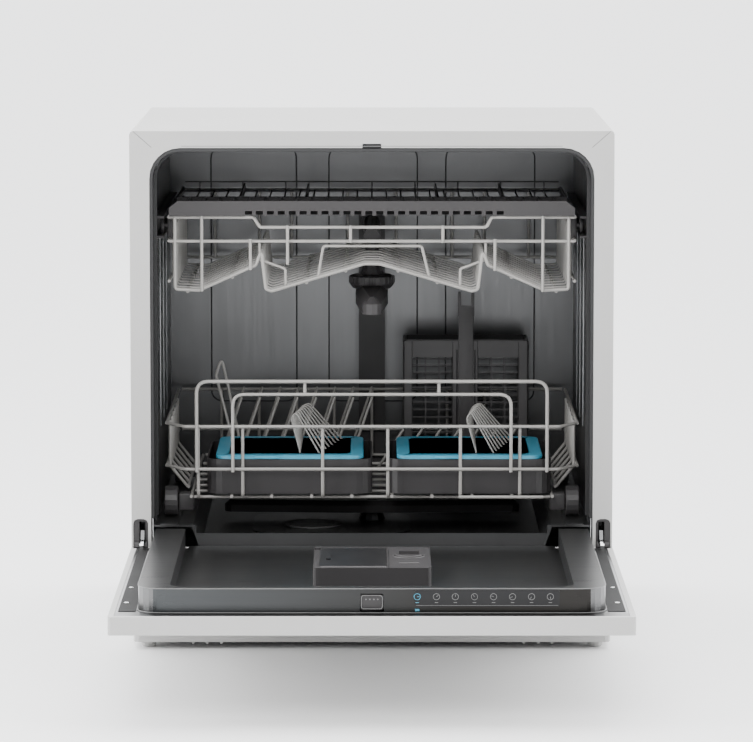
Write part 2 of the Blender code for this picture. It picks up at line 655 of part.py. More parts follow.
def door_pieces():
    """Outer pan, steel liner with its raised rails and front rim, and what is set into them."""
    end = -DOOR_END
    start = -DOOR_START
    low = PIVOT_Z - DOOR_THICKNESS
    pan = piece(
        "door_outer_panel",
        prism(rounded(-HALF, HALF, end, start, 0.003, 2), "Z", low, PIVOT_Z - DOOR_STAND_OFF),
        WHITE_PAINT, door,
    )
    inside = HALF - DOOR_LIP
    cut(pan, block(-inside, inside, end + DOOR_LIP, start - DOOR_LIP, low + DOOR_SKIN, PIVOT_Z + 0.1))
    notch = (RECESS_INNER - 0.0005, RECESS_OUTER + 0.0005)
    for sign in (-1, 1):
        x0, x1 = between(sign * notch[0], sign * notch[1])
        cut(pan, block(x0, x1, -DOOR_NOTCH, 0.1, low - 0.1, PIVOT_Z + 0.1))

    flange = inside - SEAT
    flange_top = PIVOT_Z - DOOR_STAND_OFF - SEAT
    liner = piece(
        "door_liner",
        prism(
            rounded(-flange, flange, end + DOOR_LIP + SEAT, start - DOOR_LIP - SEAT, 0.002, 1), "Z",
            flange_top - LINER_SHEET, flange_top,
        ),
        TUB_STEEL, door,
    )
    face = -LINER_END
    join(liner, prism(
        rounded(-LINER_HALF, LINER_HALF, face, -LINER_START, LINER_CORNER, 5, (1, 1, 0, 0)), "Z",
        flange_top - 0.001, LINER_TOP_Z,
    ))
    rail = LINER_HALF - RAIL_WIDTH
    join(liner, block(
        -rail + 0.003, rail - 0.003, -LINER_START - 0.01, start - DOOR_LIP - 0.002, flange_top - 0.001,
        LINER_FIELD_Z + 0.002,
    ))
    cut(liner, prism(
        rounded(-rail, rail, face + FRONT_RIM, 0.01, 0.012, 3, (1, 1, 0, 0)), "Z", LINER_FIELD_Z, 0.3,
    ))
    t = LINER_SHEET
    outline = rounded(
        -LINER_HALF + t, LINER_HALF - t, face + t, -LINER_START - t, LINER_CORNER - t, 5, (1, 1, 0, 0)
    )
    inner = [(rail + t, -LINER_START - t), (rail + t, face + FRONT_RIM - t),
             (-rail - t, face + FRONT_RIM - t), (-rail - t, -LINER_START - t)]
    cut(liner, prism(outline[:-1] + inner + outline[-1:], "Z", low, LINER_TOP_Z - t))
    cut(liner, block(-rail + t, rail - t, face + FRONT_RIM + t, start - 0.012, low, LINER_FIELD_Z - t))
    z0, z1 = LATCH_Z
    cut(liner, block(-LATCH_HALF - 0.0006, LATCH_HALF + 0.0006, face - 0.01, face + 0.008, z0 - 0.0004,
                     z1 + 0.0006))

    piece(
        "control_strip",
        prism(rounded(*CONTROLS_X, *CONTROLS_Z, 0.002, 2), "Y", face - SEAT - 0.0009, face - SEAT),
        BLACK_GLOSS, door,
    )

    latch = carrier("door_latch_axis", 0, face, sum(LATCH_Z) / 2, door)
    piece(
        "door_latch",
        prism(rounded(-LATCH_HALF, LATCH_HALF, z0, z1, 0.005, 3), "Y", face - 0.0010, face + 0.0105),
        DARK_PLASTIC, latch,
    )

    for name, sign in (("left", -1), ("right", 1)):
        middle = sign * (ARM_SLOT_INNER + ARM_SLOT_OUTER) / 2
        top = PIVOT_Z + 0.0067
        under = flange_top + SEAT
        outline = (
            [(-ARM_STRAP, under), (-0.0050, under)]
            + arc(0, PIVOT_Z, ARM_EYE, 215, 350, 5)
            + [(0.0105, PIVOT_Z + 0.0040), (0.0105, PIVOT_Z + 0.0160), (0.0050, PIVOT_Z + 0.0175)]
            + [(-0.0020, PIVOT_Z + 0.0080), (-0.0120, top), (-ARM_STRAP + 0.002, top), (-ARM_STRAP, top - 0.002)]
        )
        arm = piece(
            f"hinge_arm_{name}",
            prism(outline, "X", middle - ARM_THICKNESS / 2, middle + ARM_THICKNESS / 2), CHROME, door,
        )
        cut(arm, rod(HINGE_PIN_RADIUS + RUNNING_GAP, (0, PIVOT_Z), "X", middle - 0.01, middle + 0.01, 10))


def dispenser():
    """Detergent cup with a sliding lid, and the rinse aid filler beside it."""
    floor = LINER_FIELD_Z + SEAT
    body = piece(
        "dispenser_body",
        prism(rounded(*DISPENSER_X, *DISPENSER_Y, 0.006, 3), "Z", floor, DISPENSER_TOP), DARK_PLASTIC, door,
    )
    lid_seat = DISPENSER_TOP - LID_THICKNESS - SEAT
    cut(body, block(-0.2, CUP_X[1] + 2 * SEAT, CUP_Y[0] - 2 * SEAT, CUP_Y[1] + 2 * SEAT, lid_seat, 0.3))
    cut(body, prism(rounded(CUP_X[0] + 0.005, CUP_X[1] - 0.005, CUP_Y[0] + 0.006, CUP_Y[1] - 0.006, 0.01, 3),
                    "Z", floor + 0.003, 0.3))
    cut(body, rod(RINSE_RADIUS + 0.0006, (RINSE_X, RINSE_Y), "Z", floor + 0.010, 0.3, 16))

    lid_axis = carrier("detergent_lid_axis", *(sum(CUP_X) / 2, sum(CUP_Y) / 2, DISPENSER_TOP), door)
    lid = piece(
        "detergent_lid",
        prism(rounded(*CUP_X, *CUP_Y, 0.002, 2), "Z", lid_seat + SEAT, DISPENSER_TOP), BLACK_GLOSS, lid_axis,
    )
    middle = sum(CUP_Y) / 2
    join(lid, prism(
        rounded(CUP_X[0] + 0.006, CUP_X[0] + 0.012, middle - 0.02, middle + 0.02, 0.002, 2), "Z",
        DISPENSER_TOP - 0.0005, DISPENSER_TOP + 0.0014,
    ))

    cap_axis = carrier("rinse_aid_cap_axis", RINSE_X, RINSE_Y, DISPENSER_TOP, door)
    bottom = floor + 0.010 + SEAT
    cap = piece(
        "rinse_aid_cap",
        turned(
            ((0, bottom), (RINSE_RADIUS - 0.003, bottom), (RINSE_RADIUS - 0.003, DISPENSER_TOP - 0.004),
             (RINSE_RADIUS, DISPENSER_TOP - 0.003), (RINSE_RADIUS, DISPENSER_TOP + 0.001),
             (RINSE_RADIUS - 0.001, DISPENSER_TOP + 0.002), (0, DISPENSER_TOP + 0.002)),
            (RINSE_X, RINSE_Y, 0), steps=16,
        ),
        DARK_PLASTIC, cap_axis,
    )
    join(cap, block(RINSE_X - 0.011, RINSE_X + 0.011, RINSE_Y - 0.002, RINSE_Y + 0.002,
                    DISPENSER_TOP + 0.001, DISPENSER_TOP + 0.0055))


def water_parts():
    """Sump, filter, pumps and the duct that feeds the upper arm."""
    top = TROUGH_Z - TUB_SHEET - SEAT
    r = SUMP_RADIUS
    piece(
        "sump",
        turned(
            ((0, SUMP_BOTTOM), (r - 0.012, SUMP_BOTTOM), (r, SUMP_BOTTOM + 0.010), (r, top - 0.008),
             (r + 0.014, top - 0.008), (r + 0.014, top), (r - 0.0025, top),
             (r - 0.0025, SUMP_BOTTOM + 0.0115), (r - 0.0135, SUMP_BOTTOM + 0.0025), (0, SUMP_BOTTOM + 0.0025)),
            (SUMP_X, SUMP_Y, 0), steps=20,
        ),
        DARK_PLASTIC, root,
    )
    plate_z = TROUGH_Z + SEAT
    plate_top = plate_z + 0.0012
    plate = piece(
        "filter_plate",
        prism(rounded(-0.140, 0.045, 0.100, 0.262, 0.03, 3), "Z", plate_z, plate_top), TUB_STEEL, root,
    )
    cut(plate, rod(FILTER_RADIUS + 0.001, (SUMP_X, SUMP_Y), "Z", 0.1, 0.13, 20))
    riser_top = LOWER_ARM_Z[0] - SEAT
    join(plate, turned(
        ((0, plate_z + 0.0003), (0.016, plate_z + 0.0003), (0.012, riser_top), (ARM_PIN, riser_top),
         (ARM_PIN, LOWER_ARM_Z[1] + 0.002), (0, LOWER_ARM_Z[1] + 0.002)),
        (0, ARM_Y, 0), steps=12,
    ))

    cup_axis = carrier("filter_cup_axis", SUMP_X, SUMP_Y, plate_top, root)
    f = FILTER_RADIUS
    rim = plate_top + SEAT
    cup = piece(
        "filter_cup",
        turned(
            ((0, SUMP_BOTTOM + 0.008), (f - 0.002, SUMP_BOTTOM + 0.008), (f, rim), (f + 0.004, rim),
             (f + 0.004, rim + 0.002), (f - 0.003, rim + 0.002), (f - 0.005, SUMP_BOTTOM + 0.010),
             (0, SUMP_BOTTOM + 0.010)),
            (SUMP_X, SUMP_Y, 0), steps=18,
        ),
        GREY_PLASTIC, cup_axis,
    )
    join(cup, block(SUMP_X - f + 0.003, SUMP_X + f - 0.003, SUMP_Y - 0.0015, SUMP_Y + 0.0015,
                    SUMP_BOTTOM + 0.009, rim + 0.0015))

    salt_axis = carrier("salt_cap_axis", SALT_X, SALT_Y, TROUGH_Z, root)
    salt = piece(
        "salt_cap",
        turned(
            ((0, plate_z), (0.023, plate_z), (0.023, plate_z + 0.003), (0.020, plate_z + 0.005),
             (0, plate_z + 0.005)),
            (SALT_X, SALT_Y, 0), steps=16,
        ),
        GREY_PLASTIC, salt_axis,
    )
    join(salt, block(SALT_X - 0.016, SALT_X + 0.016, SALT_Y - 0.003, SALT_Y + 0.003, plate_z + 0.004,
                     plate_z + 0.0095))

    pump_x = SUMP_X + r + SEAT
    piece(
        "circulation_pump",
        turned(
            ((0, 0), (0.012, 0), (0.012, 0.012), (0.030, 0.016), (0.033, 0.022), (0.033, 0.045),
             (0.027, 0.048), (0.027, 0.105), (0.022, 0.110), (0, 0.110)),
            (pump_x, SUMP_Y, PUMP_Z), axis="X", steps=16,
        ),
        DARK_PLASTIC, root,
    )
    piece(
        "drain_pump",
        turned(
            ((0, 0), (0.010, 0), (0.010, 0.010), (0.024, 0.013), (0.024, 0.035), (0.019, 0.038),
             (0.019, 0.075), (0, 0.075)),
            (SUMP_X, SUMP_Y + r + SEAT, PUMP_Z), axis="Y", steps=14,
        ),
        GREY_PLASTIC, root,
    )

    back = TUB_BACK - EMBOSS - SEAT
    d0, d1 = DUCT_FOOT_Y, DUCT_FRONT
    duct = piece(
        "rear_duct",
        prism(
            [(d0, plate_z), (back, plate_z), (back, DUCT_TOP), (DUCT_FRONT, DUCT_TOP)]
            + arc(d1 - 0.012, plate_z + 0.010 + 0.012, 0.012, 0, -90, 3)
            + [(d0, plate_z + 0.010)],
            "X", -DUCT_HALF, DUCT_HALF,
        ),
        DARK_PLASTIC, root,
    )
    join(duct, rod(FEED_PIPE_RADIUS + 0.003, (0, FEED_PIPE_Z), "Y", DUCT_DOCK, DUCT_FRONT + 0.004, 12))
    return duct


def ports():
    """Water inlet, drain outlet and mains gland on the back."""
    y = DEPTH - 0.0008 + SEAT
    reach = PORT_REACH + DEPTH - y
    for name, x, z, profile, finish in (
        ("inlet_valve_port", 0.200, 0.075,
         ((0, 0), (0.022, 0), (0.022, 0.004), (0.0133, 0.005), (0.0133, reach), (0, reach)),
         DARK_PLASTIC),
        ("drain_port", 0.140, 0.075,
         ((0, 0), (0.020, 0), (0.020, 0.004), (0.0105, 0.005), (0.0095, 0.0165), (0, 0.0165)),
         GREY_PLASTIC),
        ("mains_gland", -0.200, 0.075,
         ((0, 0), (0.016, 0), (0.016, 0.003), (0.009, 0.005), (0.0075, 0.015), (0, 0.015)),
         BLACK_RUBBER),
    ):
        piece(name, turned(profile, (x, y, z), axis="Y", steps=14), finish, root)


def upper_rails():
    """Guides on the tub walls: two flanges with a web at each end, for the upper basket's wheels."""
    low = RAIL_Z - UPPER_WHEEL_RADIUS - SEAT
    high = low + RAIL_CLEAR
    for name, sign in (("left", -1), ("right", 1)):
        web = TUB_HALF - SEAT
        x0, x1 = between(sign * RAIL_INNER, sign * web)
        rail = piece(
            f"upper_rail_{name}",
            block(x0, x1, RAIL_FRONT, RAIL_BACK, low - RAIL_FLANGE, high + RAIL_FLANGE), DARK_PLASTIC, root,
        )
        cut(rail, block(*between(0, sign * (web - RAIL_WEB)), RAIL_FRONT - 0.01, RAIL_BACK + 0.01, low, high))
        cut(rail, block(x0 - 0.01, x1 + 0.01, RAIL_FRONT + RAIL_END, RAIL_BACK - RAIL_END, low, high))


def spray_arm(name, x, y, z0, z1, reach, along, body):
    """A tapered arm with a raised spine, its tips bent a little, with a hub that turns on a pin."""
    half_tip, half_hub = 0.011, 0.019
    outline = (
        arc(-reach + half_tip, 0, half_tip, 250, 110, 4)
        + [(-0.03, half_hub)] + [(0.03, half_hub)]
        + arc(reach - half_tip, 0, half_tip, 70, -70, 4)
        + [(0.03, -half_hub), (-0.03, -half_hub)]
    )
    bm = prism(outline, "Z", z0, z1)
    tops = [e for e in bm.edges if all(v.co.z > (z0 + z1) / 2 for v in e.verts)]
    bmesh.ops.bevel(bm, geom=tops, offset=(z1 - z0) * 0.4, segments=1, affect="EDGES", profile=0.5,
                    material=-1)
    turn = Matrix.Rotation(math.radians(90) if along == "Y" else 0, 4, "Z")
    bmesh.ops.transform(bm, matrix=Matrix.Translation((x, y, 0)) @ turn, verts=bm.verts)
    return piece(name, bm, GREY_PLASTIC, body)


def lower_arm():
    axis = carrier("lower_spray_arm_axis", 0, ARM_Y, LOWER_ARM_Z[0], root)
    arm = spray_arm("lower_spray_arm", 0, ARM_Y, *LOWER_ARM_Z, LOWER_ARM_REACH, "X", axis)
    cut(arm, rod(ARM_PIN + RUNNING_GAP, (0, ARM_Y), "Z", 0.1, 0.2, 12))


def upper_water():
    """Pipe under the upper basket, fed from the duct, with the arm that turns on its outlet."""
    z = FEED_PIPE_Z
    pipe = piece(
        "upper_feed_pipe",
        rod(FEED_PIPE_RADIUS, (0, z), "Y", ARM_Y - 0.014, DUCT_DOCK - SEAT, 12), DARK_PLASTIC, upper,
    )
    neck = (
        (0, UPPER_ARM_Z[0] + 0.003), (ARM_PIN, UPPER_ARM_Z[0] + 0.003), (ARM_PIN, NUT_TOP + SEAT),
        (0.014, NUT_TOP + SEAT), (0.0085, NUT_TOP + 0.012), (0.0085, z), (0, z),
    )
    join(pipe, turned(neck, (0, ARM_Y, 0), steps=12))
    axis = carrier("upper_spray_arm_axis", 0, ARM_Y, UPPER_ARM_Z[0], upper)
    arm = spray_arm("upper_spray_arm", 0, ARM_Y, *UPPER_ARM_Z, UPPER_ARM_REACH, "Y", axis)
    nut = turned(
        ((0, UPPER_ARM_Z[1] - 0.004), (NUT_RADIUS - 0.004, UPPER_ARM_Z[1] - 0.004),
         (NUT_RADIUS, UPPER_ARM_Z[1] + 0.001), (NUT_RADIUS, NUT_TOP - 0.002),
         (NUT_RADIUS - 0.003, NUT_TOP), (0, NUT_TOP)),
        (0, ARM_Y, 0), steps=20,
    )
    join(arm, nut)
    cut(arm, rod(ARM_PIN + RUNNING_GAP, (0, ARM_Y), "Z", 0.3, 0.5, 12))


def wheel(name, x0, x1, y, z, radius, bore, body):
    bm = turned(
        ((0, 0), (radius - 0.001, 0), (radius, 0.001), (radius, x1 - x0 - 0.001), (radius - 0.001, x1 - x0),
         (0, x1 - x0)),
        (x0, y, z), axis="X", steps=18,
    )
    obj = piece(name, bm, DARK_PLASTIC, body)
    return cut(obj, rod(bore, (y, z), "X", x0 - 0.01, x1 + 0.01, 10))


def lower_basket():
    """Five welded panels on four wheels: floor, front with its handle loops, back and two sides."""
    front, back, top, middle = LOWER_FRONT, LOWER_BACK, LOWER_TOP, LOWER_MIDDLE
    weld = WIRE * 1.5

    half = LOWER_FLOOR_HALF
    long_x = [half * (-1 + 2 * i / (FLOOR_LONG - 1)) for i in range(FLOOR_LONG)]
    flat = WIRE * math.cos(math.pi / 6)
    long_y = (front + flat + SEAT, back - flat - SEAT)
    cross_y = [FLOOR_CROSS_Y + i * FLOOR_CROSS_PITCH for i in range(FLOOR_CROSS)]
    floor = welded(
        "lower_basket_floor",
        [[(x, long_y[0], LOWER_FLOOR), (x, long_y[1], LOWER_FLOOR)] for x in long_x],
        [[(-half - 0.0006, y, LOWER_FLOOR - weld), (half + 0.0006, y, LOWER_FLOOR - weld)] for y in cross_y],
        lower,
    )
    leg_x = long_x[1]
    join(floor, wires([[(leg_x, SUPPORT_Y, LOWER_FLOOR), (leg_x - 0.0095, SUPPORT_Y + 0.004, SUPPORT_TOP - 0.003),
                        (leg_x - 0.0065, SUPPORT_Y + 0.005, SUPPORT_TOP),
                        (leg_x + 0.011, cross_y[4], LOWER_FLOOR - weld)]], THIN_WIRE), own=True)
    for sign in (-1, 1):
        for y in LOWER_WHEELS_Y:
            z = TRACK_Z + WHEEL_RADIUS + SEAT
            x0, x1 = between(sign * (half - 0.002), sign * (WHEEL_INNER - SEAT))
            join(floor, prism(rounded(y - 0.010, y + 0.010, z - 0.010, LOWER_FLOOR + 0.0016, 0.003, 2),
                              "X", x0, x1))
            x0, x1 = between(sign * (WHEEL_INNER - 0.002), sign * WHEEL_OUTER)
            join(floor, rod(AXLE_RADIUS, (y, z), "X", x0, x1, 10))

    c, d = LOWER_CORNER, LOWER_CORNER_DEPTH
    outer = LOWER_HALF - 0.001
    rails = [
        [(-outer, front + d, z), (-outer + c, front, z), (outer - c, front, z), (outer, front + d, z)]
        for z in (top, middle)
    ]
    rails.append([(-half + 0.003, front, LOWER_FLOOR), (half - 0.003, front, LOWER_FLOOR)])
    bars = [[(x, front + weld, LOWER_FLOOR - 0.0005), (x, front + weld, top + 0.0005)] for x in FRONT_BARS_X]
    panel = welded("lower_basket_front", rails, bars, lower)
    loops = []
    for width, height in ((HANDLE_HALF, HANDLE_TOP), (INNER_HANDLE_HALF, INNER_HANDLE_TOP)):
        loops.append([
            (-width, front - weld, middle - 0.0005), (-width, front - weld, height - 0.012),
            (-width + 0.012, front - weld, height), (width - 0.012, front - weld, height),
            (width, front - weld, height - 0.012), (width, front - weld, middle - 0.0005),
        ])
    join(panel, wires(loops), own=True)
    join(panel, wires([[(x, front - 0.0003, INNER_HANDLE_TOP - 0.0005), (x, front - 0.0003, HANDLE_TOP + 0.0005)]
                       for x in HANDLE_LINKS_X]), own=True)

    ends = (-LOWER_HALF + 0.004, LOWER_HALF - 0.004)
    welded(
        "lower_basket_back",
        [[(ends[0], back, z), (ends[1], back, z)] for z in (top, middle)]
        + [[(-half + 0.003, back, LOWER_FLOOR), (half - 0.003, back, LOWER_FLOOR)]],
        [[(x, back - weld, LOWER_FLOOR - 0.0005), (x, back - weld, top + 0.0005)] for x in BACK_BARS_X],
        lower,
    )
    for name, sign in (("left", -1), ("right", 1)):
        x = sign * LOWER_HALF
        bar_x = sign * (LOWER_HALF - weld)
        toe = sign * (half + 0.0050)
        side_y = (front + d + 0.0006, back - 0.0055)
        welded(
            f"lower_basket_{name}",
            [[(x, side_y[0], z), (x, side_y[1], z)] for z in (top, middle)]
            + [[(toe, side_y[0] + 0.015, SIDE_TOE_Z), (toe, LOWER_WHEELS_Y[1] - 0.024, SIDE_TOE_Z)]],
            [[(bar_x, y, top + 0.0005), (bar_x, y, middle - 0.003), (toe + sign * 0.0015, y, SIDE_TOE_Z - weld * 0.5)]
             for y in SIDE_BARS_Y],
            lower,
        )
        for where, y in zip(("front", "rear"), LOWER_WHEELS_Y):
            z = TRACK_Z + WHEEL_RADIUS + SEAT
            body = carrier(f"lower_wheel_{where}_{name}_axis", 0, y, z, lower)
            x0, x1 = between(sign * WHEEL_INNER, sign * WHEEL_OUTER)
            wheel(f"lower_wheel_{where}_{name}", x0, x1, y, z, WHEEL_RADIUS, AXLE_RADIUS + RUNNING_GAP, body)


def tines():
    """Three rows that fold on their base wires; each stands on the side that it doesn't fold to."""
    z = LOOSE_Z + WIRE
    weld = (WIRE + THIN_WIRE) * 0.75
    foot = z - THIN_WIRE * 0.7
    for name, y, fold, first_x, count, length, lean in (
        ("plate_tines_front", FRONT_TINE_Y, 1, PLATE_TINE_X, PLATE_TINES, PLATE_TINE_LENGTH, PLATE_TINE_LEAN),
        ("plate_tines_rear", REAR_TINE_Y, -1, PLATE_TINE_X, PLATE_TINES, PLATE_TINE_LENGTH, PLATE_TINE_LEAN),
        ("bowl_tines", BOWL_TINE_Y, 1, BOWL_TINE_X, BOWL_TINES, BOWL_TINE_LENGTH, BOWL_TINE_LEAN),
    ):
        body = carrier(f"{name}_axis", 0, y, z, lower)
        last_x = first_x + (count - 1) * TINE_PITCH
        tine_y = y - fold * weld
        tip_x, tip_z = length * math.sin(lean), z + length * math.cos(lean)
        starts = [first_x + i * TINE_PITCH for i in range(count)]
        welded(
            name,
            [[(first_x - 0.007, y, z), (last_x + 0.007, y, z)]],
            [[(x, tine_y, foot), (x + tip_x, tine_y, tip_z)] for x in starts],
            body, rail_radius=WIRE, bar_radius=THIN_WIRE,
        )


def trays():
    """Two lift-out trays, each with an open blue cover that carries a fan of cup wires."""
    for name, (x0, x1), fan_x, apex_x in (
        ("left", LEFT_TRAY_X, LEFT_FAN_X, LEFT_FAN_APEX), ("right", RIGHT_TRAY_X, RIGHT_FAN_X, RIGHT_FAN_APEX),
    ):
        y0, y1 = TRAY_Y
        body = carrier(f"tray_{name}_lift", (x0 + x1) / 2, (y0 + y1) / 2, LOOSE_Z, lower)
        t = TRAY_WALL
        tray = piece(
            f"tray_{name}", prism(rounded(x0, x1, y0, y1, TRAY_CORNER, 4), "Z", LOOSE_Z, TRAY_TOP),
            DARK_PLASTIC, body,
        )
        cut(tray, prism(rounded(x0 + t, x1 - t, y0 + t, y1 - t, TRAY_CORNER - t, 4), "Z", LOOSE_Z + t, 0.3))
        i0, i1 = x0 + INSERT_INSET, x1 - INSERT_INSET
        f = INSERT_FRAME
        low = TRAY_TOP + SEAT
        high = low + INSERT_THICKNESS
        cover = piece(
            f"tray_cover_{name}",
            prism(rounded(i0, i1, y0 + 0.0008, y1 - 0.0008, 0.014, 4), "Z", low, high), BLUE_PLASTIC, body,
        )
        cut(cover, prism(rounded(i0 + f, i1 - f, y0 + f, y1 - f, 0.010, 4), "Z", 0, 1))
        tab = (i0 + i1) / 2 - 0.040
        join(cover, block(tab, tab + 0.028, y0 - 0.003, y0 + 0.004, low + 0.0004, high - 0.0004))
        step = (y1 - y0 - 2 * f - 0.010) / (FAN_LOOPS - 1)
        foot_z = high + THIN_WIRE * 0.5
        runs = [[(x, y0 + f - 0.008, foot_z), (x, y1 - f + 0.008, foot_z)] for x in fan_x]
        join(cover, wires(runs, THIN_WIRE), own=True)
        loops = []
        for i in range(FAN_LOOPS):
            y = y0 + f + 0.005 + i * step
            loops.append([
                (fan_x[0], y, foot_z), (apex_x - 0.0015, y, FAN_TOP - 0.0025), (apex_x + 0.0015, y, FAN_TOP),
                (fan_x[1], y, foot_z),
            ])
        join(cover, wires(loops, THIN_WIRE * 0.85), own=True)


def cutlery_holder():
    """Caddy with two open compartments, windows right through and a lifting handle."""
    x0, x1 = CUTLERY_X
    y0, y1 = CUTLERY_Y
    middle = (x0 + x1) / 2
    body = carrier("cutlery_basket_lift", middle, (y0 + y1) / 2, LOOSE_Z, lower)
    caddy = piece(
        "cutlery_basket", prism(rounded(x0, x1, y0, y1, 0.012, 3), "Z", LOOSE_Z, CUTLERY_TOP),
        DARK_PLASTIC, body,
    )
    t = 0.002
    for a, b in ((x0 + t, middle - t), (middle + t, x1 - t)):
        cut(caddy, prism(rounded(a, b, y0 + t, y1 - t, 0.008, 2), "Z", LOOSE_Z + t, CUTLERY_TOP + 0.1))
    holes = bmesh.new()
    for group in CUTLERY_WINDOWS_X:
        for i in range(WINDOW_COLUMNS):
            for k in range(WINDOW_ROWS):
                x = group[0] + i * (group[1] - group[0]) / WINDOW_COLUMNS
                z = LOOSE_Z + 0.012 + k * WINDOW_PITCH
                block(x, x + (group[1] - group[0]) / WINDOW_COLUMNS - 0.003, y0 - 0.01, y1 + 0.01,
                      z, z + WINDOW_PITCH - 0.006, holes)
    cut(caddy, holes)
    y = (y0 + y1) / 2
    grip = rounded(middle - 0.009, middle + 0.009, LOOSE_Z + 0.060, CUTLERY_HANDLE_TOP, 0.006, 3)
    join(caddy, prism(grip, "Y", y - 0.003, y + 0.003))
    cut(caddy, prism(rounded(middle - 0.005, middle + 0.005, CUTLERY_TOP + 0.006, CUTLERY_HANDLE_TOP - 0.005,
                             0.003, 2), "Y", y - 0.02, y + 0.02))


def zigzag_z(x):
    """Height of the upper floor's bent wires at a place across the basket."""
    x = abs(x)
    for (xa, za), (xb, zb) in zip(ZIGZAG, ZIGZAG[1:]):
        if xb <= x <= xa:
            return za + (zb - za) * (xa - x) / (xa - xb)
    return UPPER_FLOOR


def zigzag_path(y, top):
    """One bent wire right across, from its upturned left end to its right one."""
    left = [(-ZIGZAG[0][0], y, top)] + [(-x, y, z) for x, z in ZIGZAG]
    right = [(x, y, z) for x, z in reversed(ZIGZAG[:-1])] + [(ZIGZAG[0][0], y, top)]
    return left + right


def upper_basket():
    """Bent-wire floor with shallow peaks for glasses, and four low sides."""
    weld = WIRE * 1.5
    front, back = UPPER_FRONT, UPPER_BACK
    y0, y1 = front + 0.008, back - 0.0065
    welded(
        "upper_basket_floor",
        [zigzag_path(ZIGZAG_FIRST_Y + i * ZIGZAG_PITCH, UPPER_MIDDLE - 0.006) for i in range(ZIGZAGS)],
        [[(s * x, y0, zigzag_z(x) - weld), (s * x, y1, zigzag_z(x) - weld)] for x in UPPER_LONG_X
         for s in (-1, 1)],
        upper,
    )

    step, high = UPPER_STEP_HALF, UPPER_TOP
    end = UPPER_HALF - 0.001
    rails = [
        [(-end, front, high), (-step - 0.004, front, high), (-step + 0.0035, front, UPPER_STEP_TOP),
         (step - 0.0005, front, UPPER_STEP_TOP), (step + 0.0055, front, high), (end, front, high)],
        [(-end, front, UPPER_MIDDLE), (end, front, UPPER_MIDDLE)],
    ]
    bars = []
    for x in UPPER_FRONT_BARS_X:
        bar_top = high if abs(x) > step + 0.003 else UPPER_STEP_TOP
        bars.append([(x, front - weld, zigzag_z(x)), (x, front - weld, bar_top + 0.0005)])
    panel = welded("upper_basket_front", rails, bars, upper)
    join(panel, wires([zigzag_path(front - 0.0004, UPPER_MIDDLE + 0.0005)], WIRE * 0.95), own=True)

    welded(
        "upper_basket_back",
        [[(-end, back, z), (end, back, z)] for z in (UPPER_BACK_TOP, UPPER_BACK_RAIL, UPPER_BACK_LOW)],
        [[(s * x, back - weld, UPPER_BACK_LOW - 0.0005), (s * x, back - weld, UPPER_BACK_TOP + 0.0005)]
         for x in UPPER_BACK_BARS_X for s in (-1, 1)],
        upper,
    )

    for name, sign in (("left", -1), ("right", 1)):
        x = sign * UPPER_HALF
        bar_x = sign * (UPPER_HALF - weld)
        side = welded(
            f"upper_basket_{name}",
            [[(x, front + 0.0048, z), (x, back - 0.0024, z)] for z in (UPPER_TOP, UPPER_MIDDLE)]
            + [[(x, front + 0.0048, UPPER_SIDE_LOW), (x, back - 0.0024, UPPER_SIDE_LOW)]],
            [[(bar_x, y, UPPER_SIDE_LOW - 0.0005), (bar_x, y, UPPER_TOP + 0.0005)] for y in UPPER_SIDE_BARS_Y],
            upper,
        )
        inner = UPPER_HALF - weld - 0.0005
        for y in UPPER_WHEELS_Y:
            x0, x1 = between(sign * inner, sign * (UPPER_WHEEL_INNER - SEAT))
            join(side, prism(rounded(y - 0.0075, y + 0.0075, UPPER_MIDDLE - 0.0005, UPPER_TOP - 0.0003, 0.002, 1),
                             "X", *between(sign * inner, sign * (UPPER_HALF + 0.0030))))
            reach = UPPER_WHEEL_OUTER if y == UPPER_WHEELS_Y[1] else UPPER_WHEEL_INNER + 0.001
            x0, x1 = between(sign * (UPPER_HALF + 0.001), sign * reach)
            join(side, rod(UPPER_AXLE, (y, RAIL_Z), "X", x0, x1, 10))
        y = UPPER_WHEELS_Y[0]
        x0, x1 = between(sign * UPPER_WHEEL_INNER, sign * UPPER_WHEEL_OUTER)
        join(side, rod(UPPER_WHEEL_RADIUS, (y, RAIL_Z), "X", x0, x1, 16))
        y = UPPER_WHEELS_Y[1]
        body = carrier(f"upper_wheel_{name}_axis", 0, y, RAIL_Z, upper)
        wheel(f"upper_wheel_{name}", x0, x1, y, RAIL_Z, UPPER_WHEEL_RADIUS, UPPER_AXLE + RUNNING_GAP, body)


